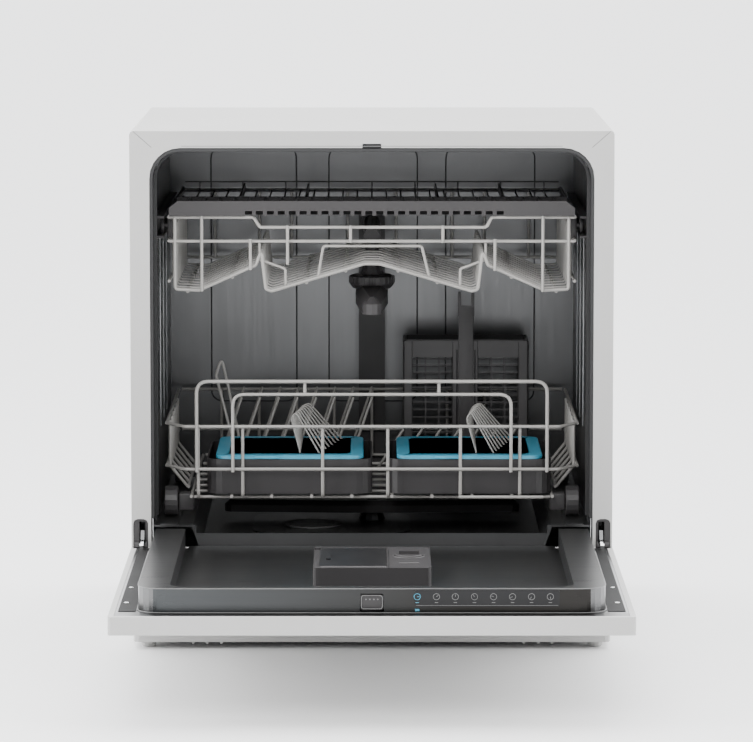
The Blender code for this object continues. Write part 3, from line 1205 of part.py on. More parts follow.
def cutlery_tray():
    """Shallow slatted tray that slides on the upper basket's top rails."""
    low = UPPER_TOP + WIRE + SEAT
    body = carrier("cutlery_tray_runner", 0, CUTLERY_TRAY_Y[0], low, upper)
    half = CUTLERY_TRAY_HALF
    y0, y1 = CUTLERY_TRAY_Y
    outline = [(-half, y0 + 0.006), (-half + 0.006, y0), (half - 0.006, y0), (half, y0 + 0.006), (half, y1),
               (-half, y1)]
    tray = piece("cutlery_tray", prism(outline, "Z", low, CUTLERY_TRAY_TOP), DARK_PLASTIC, body)
    cut(tray, prism(rounded(-half + 0.004, half - 0.004, y0 + 0.010, y1 - 0.004, 0.006, 2), "Z",
                    low + 0.002, CUTLERY_TRAY_TOP + 0.1))
    slots = bmesh.new()
    for column in range(TRAY_COLUMNS):
        for row in range(TRAY_ROWS):
            x = -half + 0.012 + column * (2 * half - 0.024) / TRAY_COLUMNS
            y = y0 + 0.018 + row * (y1 - y0 - 0.030) / TRAY_ROWS
            block(x + 0.003, x + (2 * half - 0.024) / TRAY_COLUMNS - 0.003, y,
                  y + (y1 - y0 - 0.030) / TRAY_ROWS - 0.006, 0, 0.6, slots)
    cut(tray, slots)
    ribs = bmesh.new()
    for x in TRAY_RIBS_X:
        block(x - 0.0015, x + 0.0015, y0 + 0.009, y1 - 0.003, low + 0.0005, CUTLERY_TRAY_TOP - 0.003, ribs)
    join(tray, ribs)


cabinet()
feet()
tub()
seals()
hinges()
door_pieces()
dispenser()
water_parts()
ports()
upper_rails()
lower_arm()
lower_basket()
tines()
trays()
cutlery_holder()
upper_basket()
upper_water()
cutlery_tray()
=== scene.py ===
# Countertop dishwasher, door down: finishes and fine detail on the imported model
import bpy
import bmesh
import math
from mathutils import Matrix, Vector


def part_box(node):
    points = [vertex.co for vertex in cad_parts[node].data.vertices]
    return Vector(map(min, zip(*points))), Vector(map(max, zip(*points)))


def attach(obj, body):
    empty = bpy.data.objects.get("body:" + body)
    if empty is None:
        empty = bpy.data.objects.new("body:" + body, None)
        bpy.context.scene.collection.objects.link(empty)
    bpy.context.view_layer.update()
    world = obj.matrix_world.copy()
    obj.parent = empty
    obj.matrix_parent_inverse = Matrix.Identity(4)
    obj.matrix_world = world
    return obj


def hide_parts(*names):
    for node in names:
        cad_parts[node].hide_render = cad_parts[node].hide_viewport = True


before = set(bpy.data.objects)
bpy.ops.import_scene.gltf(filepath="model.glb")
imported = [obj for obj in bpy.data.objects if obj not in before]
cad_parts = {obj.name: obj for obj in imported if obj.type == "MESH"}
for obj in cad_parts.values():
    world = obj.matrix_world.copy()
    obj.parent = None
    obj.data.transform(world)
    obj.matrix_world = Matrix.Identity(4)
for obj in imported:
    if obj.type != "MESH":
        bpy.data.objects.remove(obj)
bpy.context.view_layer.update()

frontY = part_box("cabinet_shell")[0].y  # the cabinet's front plane; pieces are drawn from it
print("loaded", len(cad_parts), "nodes, front plane at", round(frontY, 4))


# camera

camera = {
    "distance": 5.0375,   # in front of the cabinet's face
    "height": 0.9091,
    "pitch": 6.635,       # degrees down
    "lens": 212.8,
    "sensor": 36,         # its width in millimetres
    "shift": (0.00614, -0.0019),
    "farthest": 50,
}


def addCamera(c):
    data = bpy.data.cameras.new("camera")
    data.lens = c["lens"]
    data.sensor_width = c["sensor"]
    data.shift_x, data.shift_y = c["shift"]
    data.clip_end = c["farthest"]
    obj = bpy.data.objects.new("camera", data)
    obj.location = (0, frontY - c["distance"], c["height"])
    obj.rotation_euler = (math.radians(90 - c["pitch"]), 0, 0)
    bpy.context.scene.collection.objects.link(obj)
    bpy.context.scene.camera = obj


addCamera(camera)
print("camera set")


# floor and light

studio = {
    "floor": 30.0,
    "floorColour": (0.90, 0.90, 0.90),
    "floorRoughness": 0.9,
    "world": (0.97, 0.975, 0.985),
    "worldBehind": 5.0,   # strength behind the cabinet and above it
    "worldBefore": 0.4,   # strength on the viewer's side
    "worldFade": (-0.55, 0.15),   # where one passes into the other, on a scale from -1 before to 1 behind
    # name: place, aim, width, height, power
    "lights": {
        "key": ((-0.5, -3.2, 2.6), (0, 0.1, 0.3), 2.2, 1.6, 105),
        "top": ((0, -0.2, 3.0), (0, -0.1, 0.3), 2.6, 1.8, 30),
        "left": ((-2.4, -0.9, 1.0), (0, -0.2, 0.2), 0.6, 1.8, 55),
        "right": ((2.4, -0.9, 1.0), (0, -0.2, 0.2), 0.6, 1.8, 30),
    },
}


def addFloor(s):
    bm = bmesh.new()
    bmesh.ops.create_grid(bm, x_segments=1, y_segments=1, size=s["floor"])
    mesh = bpy.data.meshes.new("studio_floor")
    bm.to_mesh(mesh)
    bm.free()
    floor = bpy.data.objects.new("studio_floor", mesh)
    bpy.context.scene.collection.objects.link(floor)
    paper = bpy.data.materials.new("studio_paper")
    paper.use_nodes = True
    surface = paper.node_tree.nodes["Principled BSDF"].inputs
    surface["Base Color"].default_value = (*s["floorColour"], 1)
    surface["Roughness"].default_value = s["floorRoughness"]
    mesh.materials.append(paper)


def addWorld(s):
    world = bpy.data.worlds.new("studio")
    world.use_nodes = True
    nodes, links = world.node_tree.nodes, world.node_tree.links
    light = nodes["Background"].inputs
    light["Color"].default_value = (*s["world"], 1)
    where = nodes.new("ShaderNodeTexCoord")
    split = nodes.new("ShaderNodeSeparateXYZ")
    fall = nodes.new("ShaderNodeMapRange")
    fall.interpolation_type = "SMOOTHSTEP"
    fall.inputs["From Min"].default_value, fall.inputs["From Max"].default_value = s["worldFade"]
    fall.inputs["To Min"].default_value = s["worldBefore"]
    fall.inputs["To Max"].default_value = s["worldBehind"]
    links.new(where.outputs["Generated"], split.inputs["Vector"])
    links.new(split.outputs["Y"], fall.inputs["Value"])
    links.new(fall.outputs["Result"], light["Strength"])
    bpy.context.scene.world = world


def addLights(s):
    for name, (place, aim, width, height, power) in s["lights"].items():
        data = bpy.data.lights.new(name, "AREA")
        data.shape = "RECTANGLE"
        data.size, data.size_y = width, height
        data.energy = power
        light = bpy.data.objects.new(name, data)
        light.location = place
        light.rotation_euler = (Vector(aim) - Vector(place)).to_track_quat("-Z", "Y").to_euler()
        bpy.context.scene.collection.objects.link(light)


addFloor(studio)
addWorld(studio)
addLights(studio)
print("studio lit")


# shader maths

class Value:
    def __init__(self, finish, socket):
        self.finish = finish
        self.socket = socket

    def math(self, operation, a, b):
        return self.finish.add("Math", {"operation": operation}, {0: a, 1: b})

    def __add__(self, other):
        return self.math("ADD", self, other)

    __radd__ = __add__

    def __mul__(self, other):
        return self.math("MULTIPLY", self, other)

    __rmul__ = __mul__

    def __lt__(self, other):
        return self.math("LESS_THAN", self, other)

    def __gt__(self, other):
        return self.math("GREATER_THAN", self, other)


class Finish:
    def __init__(self, name, colour, roughness, metallic=0.0, fixed=None):
        self.material = bpy.data.materials.new(name)
        self.material.use_nodes = True
        self.tree = self.material.node_tree
        self.shader = self.tree.nodes["Principled BSDF"]
        self.set("Base Color", colour)
        self.set("Roughness", roughness)
        self.set("Metallic", metallic)
        for key, value in (fixed or {}).items():
            self.set(key, value)

    def link(self, target, value):
        if isinstance(value, Value):
            self.tree.links.new(value.socket, target)
        elif isinstance(value, (tuple, list)) and len(value) == 3 and target.type == "RGBA":
            target.default_value = (*value, 1.0)
        else:
            target.default_value = value

    def set(self, name, value):
        self.link(self.shader.inputs[name], value)

    def add(self, kind, settings=None, inputs=None, out=0):
        node = self.tree.nodes.new("ShaderNode" + kind)
        for key, value in (settings or {}).items():
            setattr(node, key, value)
        for key, value in (inputs or {}).items():
            self.link(node.inputs[key], value)
        return Value(self, node.outputs[out])

    def place(self, scale=(1, 1, 1)):
        where = self.add("TexCoord", out="Object")
        return self.add("Mapping", None, {"Vector": where, "Scale": scale})

    def noise(self, scale, detail=3.0, stretch=(1, 1, 1)):
        return self.add("TexNoise", None, {"Vector": self.place(stretch), "Scale": scale, "Detail": detail})

    def mix(self, factor, a, b):
        return self.add("Mix", {"data_type": "RGBA"}, {0: factor, 6: a, 7: b}, out=2)

    def bump(self, height, distance, strength):
        self.set("Normal", self.add("Bump", None, {
            "Height": height, "Distance": distance, "Strength": strength,
        }))


# finishes: dim and bright are the two tones that a slow noise moves between, and uneven is what
# another adds to the roughness

def whitePaint(dim, bright, roughness, uneven, shine):
    f = Finish("white_paint", bright, roughness, fixed={"Specular IOR Level": shine})
    cloud = f.noise(scale=3.0, detail=2)
    peel = f.noise(scale=900.0, detail=2)
    f.set("Base Color", f.mix(cloud, dim, bright))
    f.set("Roughness", roughness + uneven * f.noise(scale=14.0))
    f.bump(peel, distance=0.00004, strength=0.35)
    return f.material


def brushedSteel(name, dim, bright, roughness, uneven, grain, cloud, wall=None):
    # grain is (scale, stretch) and cloud a scale; wall is for the door's liner alone: the Y of its
    # front wall, then the two ends of a fade along X and the colour at each; both colours are painted
    # shade, darker than the rest of the liner and deeper to the right
    f = Finish(name, bright, roughness, metallic=1.0)
    lines = f.noise(grain[0], stretch=grain[1])
    clouds = f.noise(cloud)
    tone = f.mix(clouds, dim, bright)
    if wall:
        # the front wall is painted shade: darker than the liner's floor and fading darker from left to right
        foot, (left, right), (leftShade, rightShade) = wall
        across = f.add("SeparateXYZ", None, {0: f.place()}, out="X")
        along = f.add("SeparateXYZ", None, {0: f.place()}, out="Y")
        wallShadeFade = f.add("MapRange", None, {0: across, 1: left, 2: right})
        tone = f.mix(along < frontY + foot, tone, f.mix(wallShadeFade, leftShade, rightShade))
    f.set("Base Color", tone)
    f.set("Roughness", roughness + uneven[0] * lines + uneven[1] * clouds)
    f.bump(lines, distance=0.00003, strength=0.4)
    return f.material


def moulded(name, colour, roughness=0.42, shine=0.5):
    f = Finish(name, colour, roughness, fixed={"Specular IOR Level": shine})
    uneven, shares = 0.12, (0.88, 1.08)  # of the roughness; of the colour, in its two tones
    tone = f.noise(scale=9.0)
    dim, bright = (tuple(c * share for c in colour) for share in shares)
    f.set("Base Color", f.mix(tone, dim, bright))
    f.set("Roughness", roughness - uneven / 2 + uneven * tone)
    f.bump(f.noise(scale=1400.0, detail=2), distance=0.00005, strength=0.5)
    return f.material


def coatedWire(dim, bright, roughness, uneven, coat):
    f = Finish("coated_wire", bright, roughness, fixed={"Coat Weight": coat})
    tone = f.noise(scale=30.0)
    f.set("Base Color", f.mix(tone, dim, bright))
    f.set("Roughness", roughness + uneven * tone)
    f.bump(f.noise(scale=700.0, detail=2), distance=0.00005, strength=0.35)
    return f.material


def blackGloss(colour, roughness, uneven, shine):
    f = Finish("black_gloss", colour, roughness, fixed={"Specular IOR Level": shine})
    f.set("Roughness", roughness + uneven * f.noise(scale=20.0))
    return f.material


def chromePlate(colour, roughness, uneven):
    f = Finish("chrome_plate", colour, roughness, metallic=1.0)
    f.set("Roughness", roughness + uneven * f.noise(scale=60.0))
    return f.material


def sealRubber(colour, roughness, uneven):
    f = Finish("seal_rubber", colour, roughness)
    f.set("Roughness", roughness + uneven * f.noise(scale=50.0))
    f.bump(f.noise(scale=900.0, detail=2), distance=0.00006, strength=0.5)
    return f.material


def zincSheet(dim, bright, roughness, uneven):
    f = Finish("zinc_sheet", bright, roughness, metallic=1.0)
    flakes = f.add("TexVoronoi", None, {"Vector": f.place(), "Scale": 70.0}, out="Color")
    flake = f.add("SeparateColor", None, {0: flakes})
    f.set("Base Color", f.mix(flake, dim, bright))
    f.set("Roughness", roughness + uneven * flake)
    return f.material


finishes = {
    "white": whitePaint(dim=(0.43, 0.427, 0.421), bright=(0.47, 0.467, 0.460), roughness=0.44, uneven=0.08,
                        shine=0.12),
    "tub": brushedSteel("tub_steel", dim=(0.11, 0.11, 0.111), bright=(0.165, 0.168, 0.171), roughness=0.26,
                        uneven=(0.12, 0.08), grain=(420.0, (1, 1, 0.02)), cloud=5.0),
    # the liner's front wall carries painted shade, darker and deepening from left to right
    "liner": brushedSteel("liner_steel", dim=(0.10, 0.10, 0.101), bright=(0.15, 0.152, 0.155), roughness=0.22,
                          uneven=(0.10, 0.06), grain=(500.0, (0.02, 1, 1)), cloud=7.0,
                          wall=(-0.4455, (-0.22, 0.10), ((0.055, 0.058, 0.060), (0.024, 0.023, 0.022)))),
    "dark": moulded("dark_plastic", (0.036, 0.034, 0.035), shine=0.35),
    # near-black and almost without shine, for the door's side strips: painted shade on the flanges
    "shade": moulded("painted_shade_plastic", (0.018, 0.018, 0.018), 0.62, shine=0.1),
    "caddy": moulded("caddy_plastic", (0.070, 0.067, 0.068), shine=0.45),
    "mark": moulded("printed_mark", (0.16, 0.16, 0.16), 0.5),
    "grey": moulded("grey_plastic", (0.14, 0.14, 0.14)),
    "foot": moulded("foot_plastic", (0.42, 0.42, 0.41)),
    "blue": moulded("blue_plastic", (0.055, 0.33, 0.48), 0.34),
    "wire": coatedWire(dim=(0.27, 0.261, 0.247), bright=(0.33, 0.321, 0.305), roughness=0.32, uneven=0.10,
                       coat=0.1),
    "gloss": blackGloss((0.012, 0.012, 0.013), roughness=0.26, uneven=0.08, shine=0.2),
    "chrome": chromePlate((0.75, 0.75, 0.76), roughness=0.07, uneven=0.08),
    "rubber": sealRubber((0.018, 0.018, 0.019), roughness=0.55, uneven=0.15),
    "zinc": zincSheet(dim=(0.27, 0.276, 0.283), bright=(0.36, 0.367, 0.375), roughness=0.36, uneven=0.16),
}

# the solids that aren't wire or wheels, by their finish
solids = {
    "white": ("cabinet_shell", "front_frame", "base_tray", "door_outer_panel"),
    "zinc": ("rear_panel",),
    "foot": ("front_foot_left", "front_foot_right"),
    "tub": ("tub",),
    "liner": ("filter_plate", "door_liner"),
    "rubber": ("door_gasket", "mains_gland"),
    "gloss": ("door_strike", "control_strip", "detergent_lid"),
    "chrome": ("hinge_arm_left", "hinge_arm_right"),
    "grey": ("drain_pump", "drain_port", "filter_cup", "salt_cap"),
    "blue": ("tray_cover_left", "tray_cover_right"),
    "dark": ("hinge_bracket_left", "hinge_bracket_right", "upper_rail_left", "upper_rail_right",
             "rear_duct", "sump", "circulation_pump", "inlet_valve_port", "lower_spray_arm",
             "dispenser_body", "rinse_aid_cap", "door_latch", "tray_left", "tray_right",
             "cutlery_basket", "upper_feed_pipe", "upper_spray_arm", "cutlery_tray"),
}
finishOf = {node: finish for finish, nodes in solids.items() for node in nodes}
for nodeName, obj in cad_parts.items():
    key = finishOf.get(nodeName, "dark" if "wheel" in nodeName else "wire")
    if not obj.material_slots:
        obj.data.materials.append(None)
    for slot in obj.material_slots:
        slot.material = finishes[key]
print("finishes on", len(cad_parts), "nodes")


# tools that make pieces, drawn from the cabinet's front plane

sharpAngle = 35  # degrees between faces, past which an edge stays sharp


def finished(name, bm, finish, body, replaced=()):
    bmesh.ops.remove_doubles(bm, verts=bm.verts, dist=1e-6)
    bmesh.ops.recalc_face_normals(bm, faces=bm.faces)
    bmesh.ops.translate(bm, verts=bm.verts, vec=(0, frontY, 0))
    mesh = bpy.data.meshes.new(name)
    bm.to_mesh(mesh)
    bm.free()
    mesh.shade_smooth()
    mesh.set_sharp_from_angle(angle=math.radians(sharpAngle))
    mesh.materials.append(finishes[finish])
    obj = bpy.data.objects.new(name, mesh)
    bpy.context.scene.collection.objects.link(obj)
    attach(obj, body)
    if replaced:
        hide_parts(*replaced)


def wired(name, bm, body, node):
    finished(name, bm, "wire", body, [node])


def plastic(name, bm, body, node, finish="dark"):
    finished(name, bm, finish, body, [node])


def around(middle, half):
    return middle - half, middle + half


def alongX(ends, y, z):
    return [(x, y, z) for x in ends]


def alongY(x, ends, z):
    return [(x, y, z) for y in ends]


def alongZ(x, y, ends):
    return [(x, y, z) for z in ends]


def bent(points, radius):
    # the same run with each corner turned into an arc, which takes less than half of either side
    share, degreesPerStep = 0.48, 12
    points = [Vector(p) for p in points]
    run = [points[0]]
    for before, here, after in zip(points, points[1:], points[2:]):
        back, on = before - here, after - here
        turn = math.pi - back.angle(on)
        reach = radius * math.tan(turn / 2)
        reach = min(reach, back.length * share, on.length * share)
        start, end = here + back.normalized() * reach, here + on.normalized() * reach
        steps = max(2, round(math.degrees(turn) / degreesPerStep))
        for i in range(steps + 1):
            t = i / steps
            run.append(start * (1 - t) ** 2 + here * 2 * t * (1 - t) + end * t * t)
    run.append(points[-1])
    return run


def wireMesh(runs, bend=0.006, sides=4):
    # runs are (points, radius); each is swept as a round, capped wire
    data = bpy.data.curves.new("wires", "CURVE")
    data.dimensions = "3D"
    data.bevel_depth = 0.001  # so a point's own radius is in millimetres
    data.bevel_resolution = sides
    data.use_fill_caps = True
    for points, radius in runs:
        path = bent(points, bend)
        spline = data.splines.new("POLY")
        spline.points.add(len(path) - 1)
        for point, at in zip(spline.points, path):
            point.co = (*at, 1)
            point.radius = radius * 1000
    obj = bpy.data.objects.new("wires", data)
    bpy.context.scene.collection.objects.link(obj)
    bpy.context.view_layer.update()
    mesh = bpy.data.meshes.new_from_object(obj.evaluated_get(bpy.context.evaluated_depsgraph_get()))
    bpy.data.objects.remove(obj)
    bm = bmesh.new()
    bm.from_mesh(mesh)
    bpy.data.meshes.remove(mesh)
    return bm


def added(bm, other):
    spare = bpy.data.meshes.new("spare")
    other.to_mesh(spare)
    other.free()
    bm.from_mesh(spare)
    bpy.data.meshes.remove(spare)


def pushed(bm, outline, axis, low, high):
    # a flat outline pushed from one place to another along an axis
    def at(u, v, w):
        return {"X": (w, u, v), "Y": (u, w, v), "Z": (u, v, w)}[axis]
    face = bm.faces.new([bm.verts.new(at(u, v, low)) for u, v in outline])
    grown = bmesh.ops.extrude_face_region(bm, geom=[face])["geom"]
    bmesh.ops.translate(bm, verts=[g for g in grown if isinstance(g, bmesh.types.BMVert)],
                        vec=at(0, 0, high - low))
    return bm


def corner(cx, cy, radius, start, steps=8):
    # a quarter turn's points, from an angle in degrees
    angles = [math.radians(start + 90 * i / steps) for i in range(steps + 1)]
    return [(cx + radius * math.cos(a), cy + radius * math.sin(a)) for a in angles]


def roundedLoop(bm, x, y, z, radius):
    # a rectangle with rounded corners, as a loop of edges
    spots = ((x[1] - radius, y[1] - radius, 0), (x[0] + radius, y[1] - radius, 90),
             (x[0] + radius, y[0] + radius, 180), (x[1] - radius, y[0] + radius, 270))
    outline = [point for cx, cy, start in spots for point in corner(cx, cy, radius, start, steps=5)]
    verts = [bm.verts.new((u, v, z)) for u, v in outline]
    return [bm.edges.new((a, b)) for a, b in zip(verts, verts[1:] + verts[:1])]


def bridged(bm, loops):
    # a skin from each loop to the next, and from the last to the first
    for first, second in zip(loops, loops[1:] + loops[:1]):
        bmesh.ops.bridge_loops(bm, edges=first + second)


def addBlock(bm, x, y, z, edge=0.0, segments=2):
    # a box between two places on each axis, its edges eased
    size = [abs(b - a) for a, b in (x, y, z)]
    middle = [(a + b) / 2 for a, b in (x, y, z)]
    matrix = Matrix.Translation(middle) @ Matrix.Diagonal((*size, 1))
    made = bmesh.ops.create_cube(bm, size=1, matrix=matrix)["verts"]
    if edge:
        edges = list({e for v in made for e in v.link_edges})
        bmesh.ops.bevel(bm, geom=edges, offset=edge, segments=segments, affect="EDGES", profile=0.5,
                        material=-1)
    return bm


def addDisc(bm, centre, axis, radius, low, high, edge=0.0, steps=24):
    # a round bar or disc along an axis, between two places on it
    turn = {
        "X": Matrix.Rotation(math.radians(90), 4, "Y"),
        "Y": Matrix.Rotation(math.radians(90), 4, "X"),
        "Z": Matrix.Identity(4),
    }[axis]
    where = list(centre)
    where.insert("XYZ".index(axis), (low + high) / 2)
    matrix = Matrix.Translation(where) @ turn
    made = bmesh.ops.create_cone(bm, cap_ends=True, segments=steps, radius1=radius, radius2=radius,
                                 depth=abs(high - low), matrix=matrix)["verts"]
    if edge:
        rims = [e for e in {e for v in made for e in v.link_edges}
                if any(len(f.verts) > 4 for f in e.link_faces)]
        bmesh.ops.bevel(bm, geom=rims, offset=edge, segments=2, affect="EDGES", profile=0.5, material=-1)


# wires that are welded together lie closer than they are thick

weldShare = 1.5   # from centre to centre, in radii
past = 0.0005     # how far a wire's end runs past the wire that carries it


# lower basket

basket = {
    "wire": 0.0019, "thin": 0.0016,
    "half": 0.2375, "front": 0.040, "back": 0.400,
    "top": 0.2525, "middle": 0.203, "floor": 0.171, "floorHalf": 0.208,
    "longs": 10, "longShort": 0.002,
    "crossFirst": 0.060, "crossPitch": 0.047, "crossCount": 7, "crossPast": 0.0006,
    "corner": (0.021, 0.031), "cornerIn": 0.001,
    "footRail": (0.1000, 0.1975),
    # half width, height, wire; their feet stand below the middle rail
    "handles": ((0.2015, 0.305, 0.0021), (0.160, 0.290, 0.0019)), "handleFoot": 0.003, "handleBend": 0.014,
    "handleLinks": (-0.077, 0.077), "linkOut": 0.0003,
    "frontBars": (-0.2000, -0.1488, -0.0567, 0.0183, 0.1019, 0.1704), "barStart": 0.002, "barPast": 0.0015,
    "backBars": (-0.1849, -0.1387, -0.0924, -0.0462, 0.0, 0.0462, 0.0924, 0.1387, 0.1849),
    "backIn": 0.004, "backLowIn": 0.003,
    "sideBars": (0.095, 0.135, 0.175, 0.215, 0.255, 0.300), "sideIn": (0.0006, 0.0055),
    # the low side wire, beyond the floor's edge and between the wheels
    "toe": 0.1765, "toeOut": 0.005, "toeIn": (0.015, 0.024), "toeLean": (0.003, 0.0015),
    "support": ((-0.1560, 0.2320, 0.1725), (-0.1858, 0.2330, 0.2890), (-0.1793, 0.2345, 0.3105),
                (-0.1724, 0.2370, 0.2800), (-0.1500, 0.2480, 0.1700)),
    "supportWire": 0.00176, "supportBend": 0.007,
}

wheelBracket = {
    "y": (0.066, 0.340), "z": 0.1628, "wheel": (0.2240, 0.2395),  # the wheel's inner and outer face
    "axle": 0.0035, "axleRoot": 0.002, "axleEase": 0.0005, "axleSteps": 16,
    "root": 0.002, "gap": 0.0004, "half": 0.010, "rise": 0.0016, "ease": 0.002,
    # two clips beside it, up to the floor's wires
    "clipAt": 0.0055, "clipHalf": 0.0015, "clipX": (0.0025, 0.004), "clipZ": (0.009, 0.0010),
    "clipEase": 0.0005,
}


def lowerFloor(b):
    r, half, floor = b["wire"], b["floorHalf"], b["floor"]
    lastLong, reach, under = b["longs"] - 1, half + b["crossPast"], floor - r * weldShare
    ends = (b["front"] + b["longShort"], b["back"] - b["longShort"])
    runs = [(alongY(half * (-1 + 2 * i / lastLong), ends, floor), r) for i in range(b["longs"])]
    runs += [(alongX((-reach, reach), b["crossFirst"] + i * b["crossPitch"], under), r)
             for i in range(b["crossCount"])]
    bm = wireMesh(runs)
    added(bm, wireMesh([(b["support"], b["supportWire"])], bend=b["supportBend"]))
    wired("lower_basket_floor_wires", bm, "lower_basket", "lower_basket_floor")


def wheelBrackets(b, k):
    half, floor, z, (inner, outer) = b["floorHalf"], b["floor"], k["z"], k["wheel"]
    bm = bmesh.new()
    for sign in (-1, 1):
        for y in k["y"]:
            addBlock(bm, (sign * (half - k["root"]), sign * (inner - k["gap"])), around(y, k["half"]),
                     (z - k["half"], floor + k["rise"]), k["ease"])
            addDisc(bm, (y, z), "X", k["axle"], sign * (inner - k["axleRoot"]), sign * outer, k["axleEase"],
                    k["axleSteps"])
            root, reach = k["clipX"]
            drop, rise = k["clipZ"]
            for way in (-1, 1):
                addBlock(bm, (sign * (half - root), sign * (half + reach)),
                         around(y + way * k["clipAt"], k["clipHalf"]), (z - drop, floor + rise),
                         k["clipEase"])
    plastic("lower_basket_wheel_brackets", bm, "lower_basket", "lower_basket_floor")


def lowerFront(b):
    r, weld, front, floor = b["wire"], b["wire"] * weldShare, b["front"], b["floor"]
    outer = b["half"] - b["cornerIn"]
    c, d = b["corner"]
    runs = []
    for z in (b["top"], b["middle"]):
        runs.append(([(-outer, front + d, z), (-outer + c, front, z), (outer - c, front, z),
                      (outer, front + d, z)], r))
    runs.append((alongX(b["footRail"], front, floor - past), r))
    for x in b["frontBars"]:
        runs.append(([(x, b["crossFirst"] + b["barStart"], floor), (x, front + weld, floor),
                      (x, front + weld, b["top"] + b["barPast"])], r))
    high, low = (height for width, height, wire in b["handles"])
    for x in b["handleLinks"]:
        runs.append((alongZ(x, front - b["linkOut"], (low - past, high + past)), r))
    bm = wireMesh(runs)
    foot, y = b["middle"] - b["handleFoot"], front - weld
    for width, height, wire in b["handles"]:
        loop = [(-width, y, foot), (-width, y, height), (width, y, height), (width, y, foot)]
        added(bm, wireMesh([(loop, wire)], bend=b["handleBend"]))
    wired("lower_basket_front_wires", bm, "lower_basket", "lower_basket_front")


def lowerBack(b):
    r, back, end, lowEnd = b["wire"], b["back"], b["half"] - b["backIn"], b["floorHalf"] - b["backLowIn"]
    runs = [(alongX((-end, end), back, z), r) for z in (b["top"], b["middle"])]
    runs.append((alongX((-lowEnd, lowEnd), back, b["floor"]), r))
    ends = (b["floor"] - past, b["top"] + past)
    runs += [(alongZ(x, back - r * weldShare, ends), r) for x in b["backBars"]]
    wired("lower_basket_back_wires", wireMesh(runs), "lower_basket", "lower_basket_back")


def lowerSide(b, side, sign):
    r, weld, top = b["wire"], b["wire"] * weldShare, b["top"]
    x, bar, toe = sign * b["half"], sign * (b["half"] - weld), sign * (b["floorHalf"] + b["toeOut"])
    y0, y1 = b["front"] + b["corner"][1] + b["sideIn"][0], b["back"] - b["sideIn"][1]
    runs = [(alongY(x, (y0, y1), z), r) for z in (top, b["middle"])]
    runs.append((alongY(toe, (y0 + b["toeIn"][0], wheelBracket["y"][1] - b["toeIn"][1]), b["toe"]), r))
    drop, lean = b["toeLean"]
    foot = b["toe"] - weld / 2
    runs += [([(bar, y, top + past), (bar, y, b["middle"] - drop), (toe + sign * lean, y, foot)], r)
             for y in b["sideBars"]]
    wired(f"lower_basket_{side}_wires", wireMesh(runs), "lower_basket", f"lower_basket_{side}")


lowerFloor(basket)
wheelBrackets(basket, wheelBracket)
lowerFront(basket)
lowerBack(basket)
lowerSide(basket, "left", -1)
lowerSide(basket, "right", 1)
print("lower basket wired")


# folding rows of tines

tineRows = {
    # y, way it folds, first x, count, length, lean
    "plate_tines_front": (0.262, 1, -0.1850, 8, 0.088, 19),
    "plate_tines_rear": (0.362, -1, -0.1850, 8, 0.088, 19),
    "bowl_tines": (0.250, 1, 0.0060, 7, 0.056, 34),
}
tineWire = {
    "pitch": 0.0223, "above": 0.0003, "end": 0.007, "tipSides": (10, 6),
    "foot": 0.7,   # how far under the pivot wire's centre a tine starts, in its own radii
}


def tines(rows, t):
    r, thin = basket["wire"], basket["thin"]
    z = basket["floor"] + 2 * r + t["above"]
    weld = (r + thin) * weldShare / 2
    foot = z - thin * t["foot"]
    u, v = t["tipSides"]
    for name, (y, fold, first, count, length, lean) in rows.items():
        starts = [first + i * t["pitch"] for i in range(count)]
        runs = [(alongX((first - t["end"], starts[-1] + t["end"]), y, z), r)]
        across, up = length * math.sin(math.radians(lean)), length * math.cos(math.radians(lean))
        side = y - fold * weld
        runs += [([(x, side, foot), (x + across, side, z + up)], thin) for x in starts]
        bm = wireMesh(runs)
        for x in starts:
            ball = Matrix.Translation((x + across, side, z + up))
            bmesh.ops.create_uvsphere(bm, u_segments=u, v_segments=v, radius=thin, matrix=ball)
        wired(f"{name}_wires", bm, name, name)


tines(tineRows, tineWire)
print("tines in")


# covers of the two trays, each with its fan of cup wires

cover = {
    "y": (0.0508, 0.2212), "low": 0.2133, "high": 0.2175, "flange": 0.0165,
    "trays": {
        # x of the cover, feet of the fan, top of the fan
        "left": ((-0.1803, -0.0099), (-0.0816, -0.0450), -0.0850),
        "right": ((0.0288, 0.1970), (0.1227, 0.1571), 0.1180),
    },
    "corner": 0.014, "hole": 0.009, "skirt": 0.015, "skirtWall": 0.0014, "ease": 0.0009,
    # the tab in front starts left of the middle
    "tabLeft": 0.040, "tabWide": 0.028, "tabY": (0.003, 0.004), "tabIn": 0.0004, "tabEase": 0.0008,
}

fan = {
    "top": 0.262, "foot": 0.2125, "loops": 8, "wire": 0.0010, "bend": 0.007,
    "in": 0.006, "under": 0.001,   # first loop from the hole's edge; wires' ends under the flange
    "spread": 0.0038, "sink": 0.15,
    # the crown's two corners: along X, with its share of the spread, and up
    "crown": ((-0.0045, 0.3, -0.006), (0.0035, 0.5, 0.001)),
}


def coverFrame(c, side, x0, x1):
    y0, y1 = c["y"]
    f, k, hole, w, ease = c["flange"], c["corner"], c["hole"], c["skirtWall"], c["ease"]
    low, high, skirt = c["low"], c["high"], c["high"] - c["skirt"]
    # inset, height and corner of each loop round the section
    rings = [
        (0, low, k), (0, high - ease, k), (ease, high, k - ease), (f - ease * 2, high, hole + ease),
        (f, high - ease * 2, hole), (f, skirt, hole), (f - w, skirt, hole + w), (f - w, low, hole + w),
    ]
    bm = bmesh.new()
    bridged(bm, [roundedLoop(bm, (x0 + i, x1 - i), (y0 + i, y1 - i), z, r) for i, z, r in rings])
    tab = (x0 + x1) / 2 - c["tabLeft"]
    before, behind = c["tabY"]
    addBlock(bm, (tab, tab + c["tabWide"]), (y0 - before, y0 + behind), (low + c["tabIn"], high - c["tabIn"]),
             c["tabEase"])
    finished(f"tray_cover_{side}_frame", bm, "blue", f"tray_{side}", [f"tray_cover_{side}"])


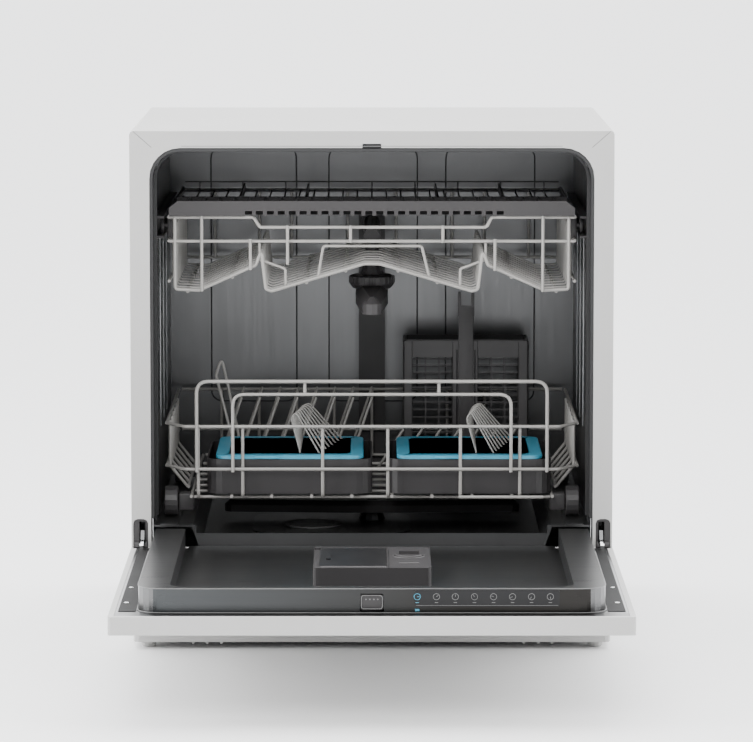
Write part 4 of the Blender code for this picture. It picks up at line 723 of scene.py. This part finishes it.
def coverFan(c, n, side, x0, x1, feet, apex):
    y0, y1 = c["y"]
    f, z, last = c["flange"], n["foot"], n["loops"] - 1
    step = (y1 - y0 - 2 * f - 2 * n["in"]) / last
    (backX, backShare, backUp), (onX, onShare, onUp) = n["crown"]
    runs = []
    for i in range(n["loops"]):
        y = y0 + f + n["in"] + i * step
        on = n["spread"] * (i - last / 2)
        top = n["top"] - n["sink"] * on
        runs.append(([
            (x0 + f - n["under"], y, z), (feet[0], y, z),
            (apex + backX + backShare * on, y, top + backUp), (apex + onX + onShare * on, y, top + onUp),
            (feet[1] + on, y, z), (x1 - f + n["under"], y, z),
        ], n["wire"]))
    wired(f"tray_cover_{side}_fan", wireMesh(runs, bend=n["bend"]), f"tray_{side}", f"tray_cover_{side}")


for side, ((x0, x1), feet, apex) in cover["trays"].items():
    coverFrame(cover, side, x0, x1)
    coverFan(cover, fan, side, x0, x1, feet, apex)
print("tray covers in")


# upper basket

upper = {
    "wire": 0.0019, "half": 0.2325, "front": 0.040, "back": 0.395, "endIn": 0.001, "bend": 0.004,
    "top": 0.4939, "middle": 0.4664,
    # the bent floor wires, from the right wall to the middle; the left half is the same
    "zigzag": ((0.2256, 0.4113), (0.1980, 0.4101), (0.1330, 0.4390), (0.1265, 0.4560), (0.1215, 0.4115),
               (0.1150, 0.4090), (0.0090, 0.4405), (0.0, 0.4457)),
    "first": 0.0715, "pitch": 0.0315, "count": 10, "zigzagWire": 0.0011,
    "hook": (0.0055, 0.0015), "hookBend": 0.010,   # how far out and down from the top rail they end
    "longs": (0.030, 0.075, 0.160, 0.2115), "longIn": (0.008, 0.0065),
    # the front's top rail dips in the middle
    "dip": ((-0.1355, -0.1280), (0.1310, 0.1370)), "dipTop": 0.4824,
    "outlineWire": 0.001995, "outlineOut": 0.0004,
    # x, lowest and highest place of each upright on the front; none means down to the bent wire
    "frontBars": ((-0.1947, None, 0.4955), (0.1957, None, 0.4955), (-0.1391, None, 0.4690),
                  (0.1408, None, 0.4690), (-0.0245, 0.4650, 0.4845), (0.0812, 0.4650, 0.4845),
                  (-0.0965, 0.4400, 0.4845)),
    "barWire": 0.001805, "barFoot": 0.0025,
    # short bent wires: one under the middle rail's centre and one each side of it
    "frontLoops": (((-0.0618, None), (-0.0557, 0.4607), (0.0571, 0.4607), (0.0662, None)),
                   ((-0.1290, 0.4664), (-0.1285, 0.4450), (-0.0989, 0.4345), (-0.0989, None)),
                   ((0.1304, 0.4664), (0.1304, 0.4450), (0.1013, 0.4345), (0.1008, None))),
    "loopWire": 0.001615, "loopIn": 0.0022, "loopFoot": 0.0015,
    "backBars": (0.0295, 0.0980, 0.1375, 0.1920), "backRails": (0.4985, 0.4750, 0.4160),
    "sideLow": 0.420, "sideBars": (0.100, 0.155, 0.210, 0.265, 0.320), "sideIn": (0.0048, 0.0024),
}

runner = {
    "y": (0.075, 0.372), "z": 0.4815, "face": (0.2390, 0.2432), "radius": 0.0092, "ease": 0.0012, "steps": 32,
    "axle": 0.0030, "axleRoot": 0.001, "axlePast": 0.001, "axleEase": 0.0004, "axleSteps": 16,
    "blockHalf": 0.0075, "blockOut": 0.003, "blockRoot": 0.0005, "blockZ": (0.0005, 0.0003),
    "blockEase": 0.0012,
}


def zigzagHeight(x):
    for (xa, za), (xb, zb) in zip(upper["zigzag"], upper["zigzag"][1:]):
        if xb <= abs(x) <= xa:
            return za + (zb - za) * (xa - abs(x)) / (xa - xb)


def zigzagRun(y, top, out=0.0):
    points = upper["zigzag"][:-1]
    end = points[0][0]
    reach, bend = end + out, top - upper["hookBend"]
    left = [(-reach, y, top), (-end, y, bend)] + [(-x, y, z) for x, z in points]
    return left + [(x, y, z) for x, z in reversed(points)] + [(end, y, bend), (reach, y, top)]


def upperFloor(u):
    r, weld, (nearIn, farIn), (out, down) = u["wire"], u["wire"] * weldShare, u["longIn"], u["hook"]
    ends = (u["front"] + nearIn, u["back"] - farIn)
    runs = [(zigzagRun(u["first"] + i * u["pitch"], u["top"] - down, out), u["zigzagWire"])
            for i in range(u["count"])]
    runs += [(alongY(sign * x, ends, zigzagHeight(x) - weld), r) for x in u["longs"] for sign in (-1, 1)]
    wired("upper_basket_floor_wires", wireMesh(runs, bend=u["bend"]), "upper_basket", "upper_basket_floor")


def upperFront(u):
    r, front, top, end = u["wire"], u["front"], u["top"], u["half"] - u["endIn"]
    (x0, x1), (x2, x3) = u["dip"]
    rail = [(-end, top), (x0, top), (x1, u["dipTop"]), (x2, u["dipTop"]), (x3, top), (end, top)]
    runs = [([(x, front, z) for x, z in rail], r), (alongX((-end, end), front, u["middle"]), r),
            (zigzagRun(front - u["outlineOut"], top), u["outlineWire"])]
    for x, low, high in u["frontBars"]:
        low = low or zigzagHeight(x) - u["barFoot"]
        runs.append((alongZ(x, front - r * weldShare, (low, high)), u["barWire"]))
    for loop in u["frontLoops"]:
        path = [(x, front + u["loopIn"], z or zigzagHeight(x) - u["loopFoot"]) for x, z in loop]
        runs.append((path, u["loopWire"]))
    wired("upper_basket_front_wires", wireMesh(runs, bend=u["bend"]), "upper_basket", "upper_basket_front")


def upperBack(u):
    r, back, end, rails = u["wire"], u["back"], u["half"] - u["endIn"], u["backRails"]
    runs = [(alongX((-end, end), back, z), r) for z in rails]
    ends = (rails[-1] - past, rails[0] + past)
    runs += [(alongZ(sign * x, back - r * weldShare, ends), r) for x in u["backBars"] for sign in (-1, 1)]
    wired("upper_basket_back_wires", wireMesh(runs), "upper_basket", "upper_basket_back")


def upperSide(u, side, sign):
    r, (nearIn, farIn) = u["wire"], u["sideIn"]
    x, bar = sign * u["half"], sign * (u["half"] - r * weldShare)
    ends = (u["front"] + nearIn, u["back"] - farIn)
    runs = [(alongY(x, ends, z), r) for z in (u["top"], u["middle"], u["sideLow"])]
    runs += [(alongZ(bar, y, (u["sideLow"] - past, u["top"] + past)), r) for y in u["sideBars"]]
    wired(f"upper_basket_{side}_wires", wireMesh(runs), "upper_basket", f"upper_basket_{side}")


def upperRunner(u, n, side, sign):
    # a block and an axle at each end; the front roller is fixed, the rear one is a body of its own
    half, (inner, outer), (front, rear), (below, above) = u["half"], n["face"], n["y"], n["blockZ"]
    root = half - u["wire"] * weldShare - n["blockRoot"]
    bm = bmesh.new()
    for y, reach in ((front, inner + n["axlePast"]), (rear, outer)):
        addBlock(bm, (sign * root, sign * (half + n["blockOut"])), around(y, n["blockHalf"]),
                 (u["middle"] - below, u["top"] - above), n["blockEase"])
        addDisc(bm, (y, n["z"]), "X", n["axle"], sign * (half + n["axleRoot"]), sign * reach, n["axleEase"],
                n["axleSteps"])
    addDisc(bm, (front, n["z"]), "X", n["radius"], sign * inner, sign * outer, n["ease"], n["steps"])
    plastic(f"upper_runner_{side}", bm, "upper_basket", f"upper_basket_{side}")


upperFloor(upper)
upperFront(upper)
upperBack(upper)
for side, sign in (("left", -1), ("right", 1)):
    upperSide(upper, side, sign)
    upperRunner(upper, runner, side, sign)
print("upper basket wired")


# cabinet front: the seal's lip, the mitred sheets' seams and the rim of the tub's mouth, drawn in a brighter
# metal than the tub: painted highlight along the tub's edge

mouth = {
    "outer": (0.2522, 0.5750), "inner": (0.2490, 0.5718), "lip": (0.2452, 0.5696),
    "radius": 0.0350, "low": 0.1515, "y": (0.0015, 0.0337), "lipY": (0.0270, 0.0333),
    "rim": (0.2474, 0.5735), "rimRadius": 0.0305, "rimY": 0.0352, "rimWire": 0.0006, "rimBend": 0.0005,
    "mitre": ((0.2706, 0.5945), (0.2499, 0.5764)), "seamTop": (0.5778, 0.2161),
    "seamWire": 0.0004, "seamY": 0.0002,
}


def archOutline(half, top, low, radius):
    return ([(half, low)] + corner(half - radius, top - radius, radius, 0)
            + corner(-half + radius, top - radius, radius, 90) + [(-half, low)])


def doorSeal(m):
    def band(bm, outer, inner, low, high):
        outside = archOutline(*outer, m["low"], m["radius"])
        inside = archOutline(*inner, m["low"], m["radius"] - outer[0] + inner[0])
        pushed(bm, outside + inside[::-1], "Y", low, high)
    bm = bmesh.new()
    band(bm, m["outer"], m["inner"], *m["y"])
    band(bm, m["inner"], m["lip"], *m["lipY"])
    finished("door_gasket_seal", bm, "rubber", "cabinet", ["door_gasket"])


def mouthRimHighlight(m):
    half, top = m["rim"]
    rim = [(x, m["rimY"], z) for x, z in archOutline(half, top, m["low"], m["rimRadius"])]
    # the bead's brighter metal is painted highlight along the tub's edge
    finished("tub_mouth_rim_highlight", wireMesh([(rim, m["rimWire"])], bend=m["rimBend"]), "zinc", "cabinet")


def frameSeams(m):
    y, r = m["seamY"], m["seamWire"]
    high, reach = m["seamTop"]
    runs = [([(sign * x, y, z) for x, z in m["mitre"]], r) for sign in (-1, 1)]
    runs.append((alongX((-reach, reach), y, high), r))
    finished("front_frame_seams", wireMesh(runs), "grey", "cabinet")


doorSeal(mouth)
mouthRimHighlight(mouth)
frameSeams(mouth)


# the tub's walls: a dark bead round each panel of the back, painted shadow of its pressed step, and the ribs
# up each side, in a brighter metal than the tub: real ribs with a painted highlight

panels = {
    "x": ((-0.1976, -0.0927), (-0.0527, 0.0558), (0.0910, 0.2000)), "z": (0.235, 0.548),
    "y": 0.4242, "radius": 0.014, "shadowBead": 0.0009,
    "ribsX": 0.2476, "ribsY": (0.142, 0.223, 0.302), "ribsZ": (0.240, 0.462), "rib": 0.0008,
}


def tubPanels(p):
    low, high = p["z"]
    runs = []
    for x0, x1 in p["x"]:
        middle = (x0 + x1) / 2
        outline = [(middle, low), (x1, low), (x1, high), (x0, high), (x0, low), (middle, low)]
        runs.append(([(x, p["y"], z) for x, z in outline], p["shadowBead"]))
    # the dark bead is painted shadow along each panel's pressed step
    finished("tub_panel_painted_shadows", wireMesh(runs, bend=p["radius"]), "rubber", "cabinet")
    runs = [(alongZ(sign * p["ribsX"], y, p["ribsZ"]), p["rib"]) for sign in (-1, 1) for y in p["ribsY"]]
    # the ribs are drawn in a brighter metal than the tub: painted highlight on real ribs
    finished("tub_side_ribs_painted_highlight", wireMesh(runs), "zinc", "cabinet")


tubPanels(panels)
print("cabinet's mouth and tub dressed")


# cutlery tray

cutlery = {
    "half": 0.2320, "y": (0.032, 0.390), "low": 0.4962, "high": 0.5130,
    "bar": 0.008, "chamfer": (0.010, 0.008), "cut": 0.145, "notch": (0.0125, 0.0080, 0.0055),
    "side": 0.0035, "sideTop": 0.5030, "sideStart": 0.004, "sideEase": 0.0008,
    # slats from the bar to where they end; ease is that of every thin part
    "slats": (0.0175, 0.0030), "slatStart": 0.006, "slatEnd": 0.104, "slatZ": (0.0045, 0.0003),
    "margin": 0.010, "ease": 0.0003,
    # a floor bar behind each slat, and the wall that the slats end on
    "barHalf": 0.001, "barY": (0.002, 0.003), "barZ": (0.0003, 0.0018),
    "wallIn": 0.006, "wallThick": 0.003, "wallZ": (0.0003, 0.0006), "wallEase": 0.0004,
    "rows": (0.200, 0.300), "rowIn": 0.003, "rowZ": (0.0002, 0.0014),
    "dividers": 0.0775, "dividerHalf": 0.0012, "dividerIn": 0.002, "dividerZ": (0.0005, 0.006),
    "backIn": 0.002, "backHigh": 0.0026, "backEase": 0.0006,
    "posts": 4, "postPitch": 0.0525, "backWire": 0.0008, "railIn": 0.004, "postFoot": 0.001,
    # the black floor under the slats, painted shade: its inset at the sides, before and behind, and its
    # height
    "wellIn": (0.008, 0.001, 0.002), "wellZ": (0.0006, 0.0016), "wellEase": 0.0002,
}


def trayBar(c):
    half, low, high, (x1, z1) = c["half"], c["low"], c["high"], c["chamfer"]
    pitch, wide, deep = c["notch"]
    outline = [(half, low), (half, high - z1), (half - x1, high), (-half + x1, high), (-half, high - z1),
               (-half, low)]
    x = -c["cut"]
    while x < c["cut"]:
        outline += [(x, low), (x, low + deep), (x + wide, low + deep), (x + wide, low)]
        x += pitch
    return pushed(bmesh.new(), outline, "Y", c["y"][0], c["y"][0] + c["bar"])


def trayComb(c):
    half, (y0, y1), low, high, ease = c["half"], c["y"], c["low"], c["high"], c["ease"]
    bm = trayBar(c)
    pitch, wide = c["slats"]
    count = int(2 * (half - c["margin"]) / pitch)
    first = -pitch * (count - 1) / 2
    under, over = c["slatZ"]
    barLow, barHigh = c["barZ"]
    for i in range(count):
        x = first + i * pitch
        addBlock(bm, around(x, wide / 2), (y0 + c["slatStart"], c["slatEnd"]), (high - under, high - over),
                 ease, 1)
        addBlock(bm, around(x, c["barHalf"]), (c["slatEnd"] - c["barY"][0], y1 - c["barY"][1]),
                 (low + barLow, low + barHigh), ease, 1)
    reach, (wallLow, wallHigh) = half - c["wallIn"], c["wallZ"]
    addBlock(bm, (-reach, reach), (c["slatEnd"] - c["wallThick"], c["slatEnd"]),
             (low + wallLow, high - wallHigh), c["wallEase"], 1)
    reach, (rowLow, rowHigh) = half - c["rowIn"], c["rowZ"]
    for y in c["rows"]:
        addBlock(bm, (-reach, reach), around(y, c["barHalf"]), (low + rowLow, low + rowHigh), ease, 1)
    inset, (dividerLow, dividerHigh) = c["dividerIn"], c["dividerZ"]
    for sign in (-1, 1):
        addBlock(bm, (sign * half, sign * (half - c["side"])), (y0 + c["sideStart"], y1),
                 (low, c["sideTop"]), c["sideEase"])
        for k in (1, 2):
            addBlock(bm, around(sign * c["dividers"] * k, c["dividerHalf"]),
                     (c["slatEnd"] - inset, y1 - inset), (low + dividerLow, high - dividerHigh), ease, 1)
    reach = half - c["backIn"]
    addBlock(bm, (-reach, reach), (y1 - c["side"], y1), (low, low + c["backHigh"]), c["backEase"])
    back, top, reach = y1 - c["side"] / 2, high - c["railIn"], half - c["railIn"]
    runs = [(alongX((-reach, reach), back, top), c["backWire"])]
    runs += [(alongZ(i * c["postPitch"], back, (low + c["postFoot"], top)), c["backWire"])
             for i in range(-c["posts"], c["posts"] + 1)]
    added(bm, wireMesh(runs))
    plastic("cutlery_tray_comb", bm, "cutlery_tray", "cutlery_tray")


def trayShadeFloor(c):
    # a black floor behind the bar, under the slats, darker than the tray's plastic: painted shade under them
    sides, before, behind = c["wellIn"]
    reach, (low, high) = c["half"] - sides, c["wellZ"]
    bm = addBlock(bmesh.new(), (-reach, reach), (c["y"][0] + c["bar"] - before, c["slatEnd"] - behind),
                  (c["low"] + low, c["low"] + high), c["wellEase"], 1)
    plastic("cutlery_tray_shade_floor", bm, "cutlery_tray", "cutlery_tray", "gloss")


trayComb(cutlery)
trayShadeFloor(cutlery)
print("cutlery tray in")


# cutlery basket: two boxes with fine grilles, and a forked handle

caddy = {
    "x": (0.0380, 0.1900), "y": (0.3250, 0.3880), "z": (0.1772, 0.3215),
    "windows": ((0.0490, 0.0978), (0.1284, 0.1780)), "windowTop": 0.3003, "windowLow": 0.0110,
    "wall": 0.0022, "below": 0.001,   # the walls end this far under the rim's top
    "barHalf": 0.00065, "barOver": 0.001, "columns": 3, "pitch": 0.0091,
    "inset": (0.25, 0.375),   # of the wall, for upright and level bars
    "floorEase": 0.0008, "wallEase": 0.0005, "sillEase": 0.0003, "sideEase": 0.0006, "dividerTop": 0.004,
    # inset, depth below the top and corner of each loop round the rim
    "rim": ((0, 0.0085, 0.007), (0.0015, 0.0, 0.0055), (0.0042, 0.0, 0.0030), (0.0030, 0.0085, 0.0040)),
    "post": (0.1050, 0.1232), "postY": (0.3236, 0.3320), "postFoot": 0.02, "postTop": 0.3620,
    "postEase": 0.0012,
    "forkTop": 0.3800, "fork": 0.0030, "forkOut": 0.0008, "forkRoot": 0.012, "forkIn": 0.0004,
    "forkEase": 0.0010,
    "lipIn": 0.002, "lipY": (0.0002, 0.003), "lipZ": (0.001, 0.0012), "lipEase": 0.0004,
    "slot": 0.0018, "slotY": (0.0002, 0.001), "slotZ": (0.030, 0.012), "slotEase": 0.0002,
}


def grilles(bm, c, near, far):
    # one long wall: the frame round its two windows, and the bars in them
    (x0, x1), (z0, z1), ((a0, a1), (b0, b1)) = c["x"], c["z"], c["windows"]
    low, high, top, over = z0 + c["windowLow"], c["windowTop"], z1 - c["below"], c["barOver"]
    for left, right in ((x0, a0), (a1, b0), (b1, x1)):
        addBlock(bm, (left, right), (near, far), (z0, top), c["wallEase"], 1)
    upright, level = (c["wall"] * share for share in c["inset"])
    for left, right in c["windows"]:
        addBlock(bm, (left, right), (near, far), (z0, low), c["sillEase"], 1)
        addBlock(bm, (left, right), (near, far), (high, top), c["sillEase"], 1)
        for i in range(1, c["columns"]):
            x = left + (right - left) * i / c["columns"]
            addBlock(bm, around(x, c["barHalf"]), (near + upright, far - upright), (low - over, high + over))
        z = high - c["pitch"]
        while z > low:
            addBlock(bm, (left - over, right + over), (near + level, far - level), around(z, c["barHalf"]))
            z -= c["pitch"]


def caddyHandle(bm, c):
    (p0, p1), (near, far), top = c["post"], c["postY"], c["postTop"]
    addBlock(bm, (p0, p1), (near, far), (c["z"][0] + c["postFoot"], top), c["postEase"])
    inset = c["forkIn"]
    for left, right in ((p0 - c["forkOut"], p0 + c["fork"]), (p1 - c["fork"], p1 + c["forkOut"])):
        addBlock(bm, (left, right), (near + inset, far - inset), (top - c["forkRoot"], c["forkTop"]),
                 c["forkEase"])
    (y0, y1), (z0, z1) = c["lipY"], c["lipZ"]
    addBlock(bm, (p0 + c["lipIn"], p1 - c["lipIn"]), (near + y0, near + y1), (top - z0, top + z1),
             c["lipEase"], 1)


def caddyGrille(c):
    (x0, x1), (y0, y1), (z0, z1), t = c["x"], c["y"], c["z"], c["wall"]
    bm = bmesh.new()
    addBlock(bm, (x0, x1), (y0, y1), (z0, z0 + t), c["floorEase"], 1)
    for near, far in ((y0, y0 + t), (y1 - t, y1)):
        grilles(bm, c, near, far)
    for side in ((x0, x0 + t), (x1 - t, x1)):
        addBlock(bm, side, (y0, y1), (z0, z1 - c["below"]), c["sideEase"], 1)
    middle = (c["windows"][0][1] + c["windows"][1][0]) / 2
    addBlock(bm, around(middle, t / 2), (y0 + t, y1 - t), (z0, z1 - c["dividerTop"]), c["sillEase"], 1)
    bridged(bm, [roundedLoop(bm, (x0 + i, x1 - i), (y0 + i, y1 - i), z1 - down, r)
                 for i, down, r in c["rim"]])
    caddyHandle(bm, c)
    plastic("cutlery_basket_grille", bm, "cutlery_basket", "cutlery_basket", "caddy")


def caddySlots(c):
    # the dark line down each side of the handle
    (p0, p1), (out, back), (foot, head) = c["post"], c["slotY"], c["slotZ"]
    z = (c["z"][0] + c["windowLow"] + foot, c["z"][1] - head)
    bm = bmesh.new()
    for x in (p0 - c["slot"], p1 + c["slot"]):
        addBlock(bm, around(x, c["slot"] / 2), (c["y"][0] - out, c["y"][0] + back), z, c["slotEase"], 1)
    plastic("cutlery_basket_slots", bm, "cutlery_basket", "cutlery_basket", "gloss")


caddyGrille(caddy)
caddySlots(caddy)
print("cutlery basket in")


# door: latch, marks on the control strip, side strips with screws, and grey lines along the liner's top edge
# and foot, painted highlights

latch = {
    "half": 0.0115, "y": (-0.4500, -0.4390), "z": (0.1216, 0.1388), "ease": 0.0022, "segments": 3,
    "wire": 0.00045, "bend": 0.0028, "in": (0.0006, 0.0022, 0.0008), "out": 0.0001,
    "dots": (-0.0062, -0.0021, 0.0021, 0.0062), "dotZ": 0.1340, "dot": 0.0008, "dotY": (0.0004, 0.0005),
    "dotSteps": 12,
}

marks = {
    "x": (0.0474, 0.0674, 0.0871, 0.1071, 0.1270, 0.1468, 0.1667, 0.1863), "y": -0.4503, "z": 0.1368,
    "radius": 0.0033, "spoke": 0.0024, "wire": 0.00028, "bend": 0.0002, "thick": 0.0004,
    "turn": 40, "ringStep": 15,   # degrees between two marks' spokes, and between a ring's points
    "tickZ": 0.1306, "tick": (0.0018, 0.0001, 0.0003),
    "lineZ": 0.1276, "lineX": (0.0460, 0.1945), "lineHalf": 0.0002,
    "low": (0.0474, 0.1225), "lowHalf": (0.0022, 0.0012), "lowY": (0.0006, 0.0012), "lowEase": 0.0003,
}

doorEdge = {
    "strip": (0.2472, 0.2660), "stripY": (-0.438, -0.014), "stripZ": (0.1189, 0.1194), "stripEase": 0.0001,
    "screws": (-0.3834, -0.2857), "screwX": 0.2600, "screw": 0.0026, "screwZ": (0.0003, 0.0001),
    "screwSteps": 20,
    # painted highlights along the liner's top edge and its foot: x, front and height of each line
    "lines": ((0.2455, -0.4490, 0.1449), (0.2465, -0.4500, 0.1196)), "highlightBack": -0.20, "highlightBend": 0.030,
    "highlightWire": 0.0005,
}


def latchBlock(d):
    half, (y0, y1), (z0, z1) = d["half"], d["y"], d["z"]
    bm = addBlock(bmesh.new(), (-half, half), (y0, y1), (z0, z1), d["ease"], d["segments"])
    plastic("door_latch_block", bm, "door_latch", "door_latch")
    inset, lift, drop = d["in"]
    out, low, high = half - inset, z0 + lift, z1 - drop
    ring = [(0, low), (out, low), (out, high), (-out, high), (-out, low), (0, low)]
    bm = wireMesh([([(x, y0 - d["out"], z) for x, z in ring], d["wire"])], bend=d["bend"])
    before, behind = d["dotY"]
    for x in d["dots"]:
        addDisc(bm, (x, d["dotZ"]), "Y", d["dot"], y0 - before, y0 + behind, steps=d["dotSteps"])
    finished("door_latch_outline", bm, "grey", "door_latch", ["door_latch"])


def dial(bm, m, i):
    # a ring with a spoke, and a tick under it; returns the wires
    x, y, z, turn = m["x"][i], m["y"], m["z"], math.radians(m["turn"] * i)
    angles = [turn + math.radians(m["ringStep"] * k) for k in range(360 // m["ringStep"] + 1)]
    ring = [(x + m["radius"] * math.cos(a), y, z + m["radius"] * math.sin(a)) for a in angles]
    spoke = [(x, y, z), (x + m["spoke"] * math.cos(turn), y, z + m["spoke"] * math.sin(turn))]
    half, out, high = m["tick"]
    addBlock(bm, around(x, half), (y - out, y + m["thick"]), around(m["tickZ"], high))
    return [(ring, m["wire"]), (spoke, m["wire"])]


def controlMarks(m):
    # the first dial is lit, with a mark below it; the others are grey, over one line
    for finish, dials in (("mark", range(1, len(m["x"]))), ("blue", range(1))):
        bm = bmesh.new()
        runs = [run for i in dials for run in dial(bm, m, i)]
        if finish == "mark":
            addBlock(bm, m["lineX"], (m["y"], m["y"] + m["thick"]), around(m["lineZ"], m["lineHalf"]))
        else:
            (x, z), (across, up), (near, far) = m["low"], m["lowHalf"], m["lowY"]
            addBlock(bm, around(x, across), (m["y"] + near, m["y"] + far), around(z, up), m["lowEase"], 1)
        added(bm, wireMesh(runs, bend=m["bend"], sides=1))
        finished(f"control_strip_{finish}s", bm, finish, "door")


def doorEdges(d):
    strips, screws = bmesh.new(), bmesh.new()
    face, (under, over) = d["stripZ"][1], d["screwZ"]
    for sign in (-1, 1):
        addBlock(strips, tuple(sign * x for x in d["strip"]), d["stripY"], d["stripZ"], d["stripEase"], 1)
        for y in d["screws"]:
            addDisc(screws, (sign * d["screwX"], y), "Z", d["screw"], face - under, face + over,
                    steps=d["screwSteps"])
    # the side strips are a thin near-black sheet over the door's flanges: painted shade
    finished("door_side_strips_painted_shade", strips, "shade", "door")
    finished("door_side_screws", screws, "chrome", "door")
    # grey beads along the liner's top edge and foot: painted highlights
    runs = [([(-x, d["highlightBack"], z), (-x, y, z), (x, y, z), (x, d["highlightBack"], z)], d["highlightWire"])
            for x, y, z in d["lines"]]
    finished("door_liner_painted_highlights", wireMesh(runs, bend=d["highlightBend"]), "grey", "door")


latchBlock(latch)
controlMarks(marks)
doorEdges(doorEdge)


# dispenser: the step before its lid, the joint between its halves and the ring round the cap

dispenser = {
    "step": ((-0.0553, 0.0153), (-0.3050, -0.3015), (0.1440, 0.1452)),
    "grip": ((0.0300, 0.0510), (-0.2800, -0.2760), (0.1440, 0.1454)), "ease": 0.0004,
    "joint": ((0.0178, 0.0186), (-0.3095, -0.1700), (0.1440, 0.14465)),
    "cap": (0.0405, -0.226), "ring": 0.0172, "ringWire": 0.0006, "ringZ": 0.1446, "ringBend": 0.0004,
    "ringStep": 12,   # degrees
}


def dispenserTrim(d):
    bm = bmesh.new()
    for key in ("step", "grip"):
        addBlock(bm, *d[key], d["ease"], 1)
    (x, y), radius, z = d["cap"], d["ring"], d["ringZ"]
    angles = [math.radians(a) for a in range(0, 361, d["ringStep"])]
    ring = [(x + radius * math.cos(a), y + radius * math.sin(a), z) for a in angles]
    added(bm, wireMesh([(ring, d["ringWire"])], bend=d["ringBend"], sides=2))
    finished("dispenser_trim", bm, "caddy", "door")
    finished("dispenser_joint", addBlock(bmesh.new(), *d["joint"]), "gloss", "door")


dispenserTrim(dispenser)
print("door trimmed")


# small things: the locating studs under the front, and ribs on the upper arm's nut

studs = {
    "x": (-0.2052, -0.1892, -0.1728, 0.1746, 0.1910, 0.2069), "half": 0.0015, "y": (0.002, 0.005),
    "z": (0.0060, 0.0086), "ease": 0.0004,
}
nut = {"at": (0.0, 0.215), "radius": 0.0262, "z": (0.4022, 0.4102), "ribs": 26, "rib": 0.0011, "steps": 8}


def trayStuds(s):
    bm = bmesh.new()
    for x in s["x"]:
        addBlock(bm, around(x, s["half"]), s["y"], s["z"], s["ease"], 1)
    finished("base_tray_studs", bm, "foot", "cabinet")


def nutRibs(n):
    bm = bmesh.new()
    for i in range(n["ribs"]):
        a = math.radians(360 * i / n["ribs"])
        place = (n["at"][0] + n["radius"] * math.cos(a), n["at"][1] + n["radius"] * math.sin(a))
        addDisc(bm, place, "Z", n["rib"], *n["z"], steps=n["steps"])
    finished("upper_spray_arm_nut_ribs", bm, "dark", "upper_spray_arm")


trayStuds(studs)
nutRibs(nut)
print("small things in")
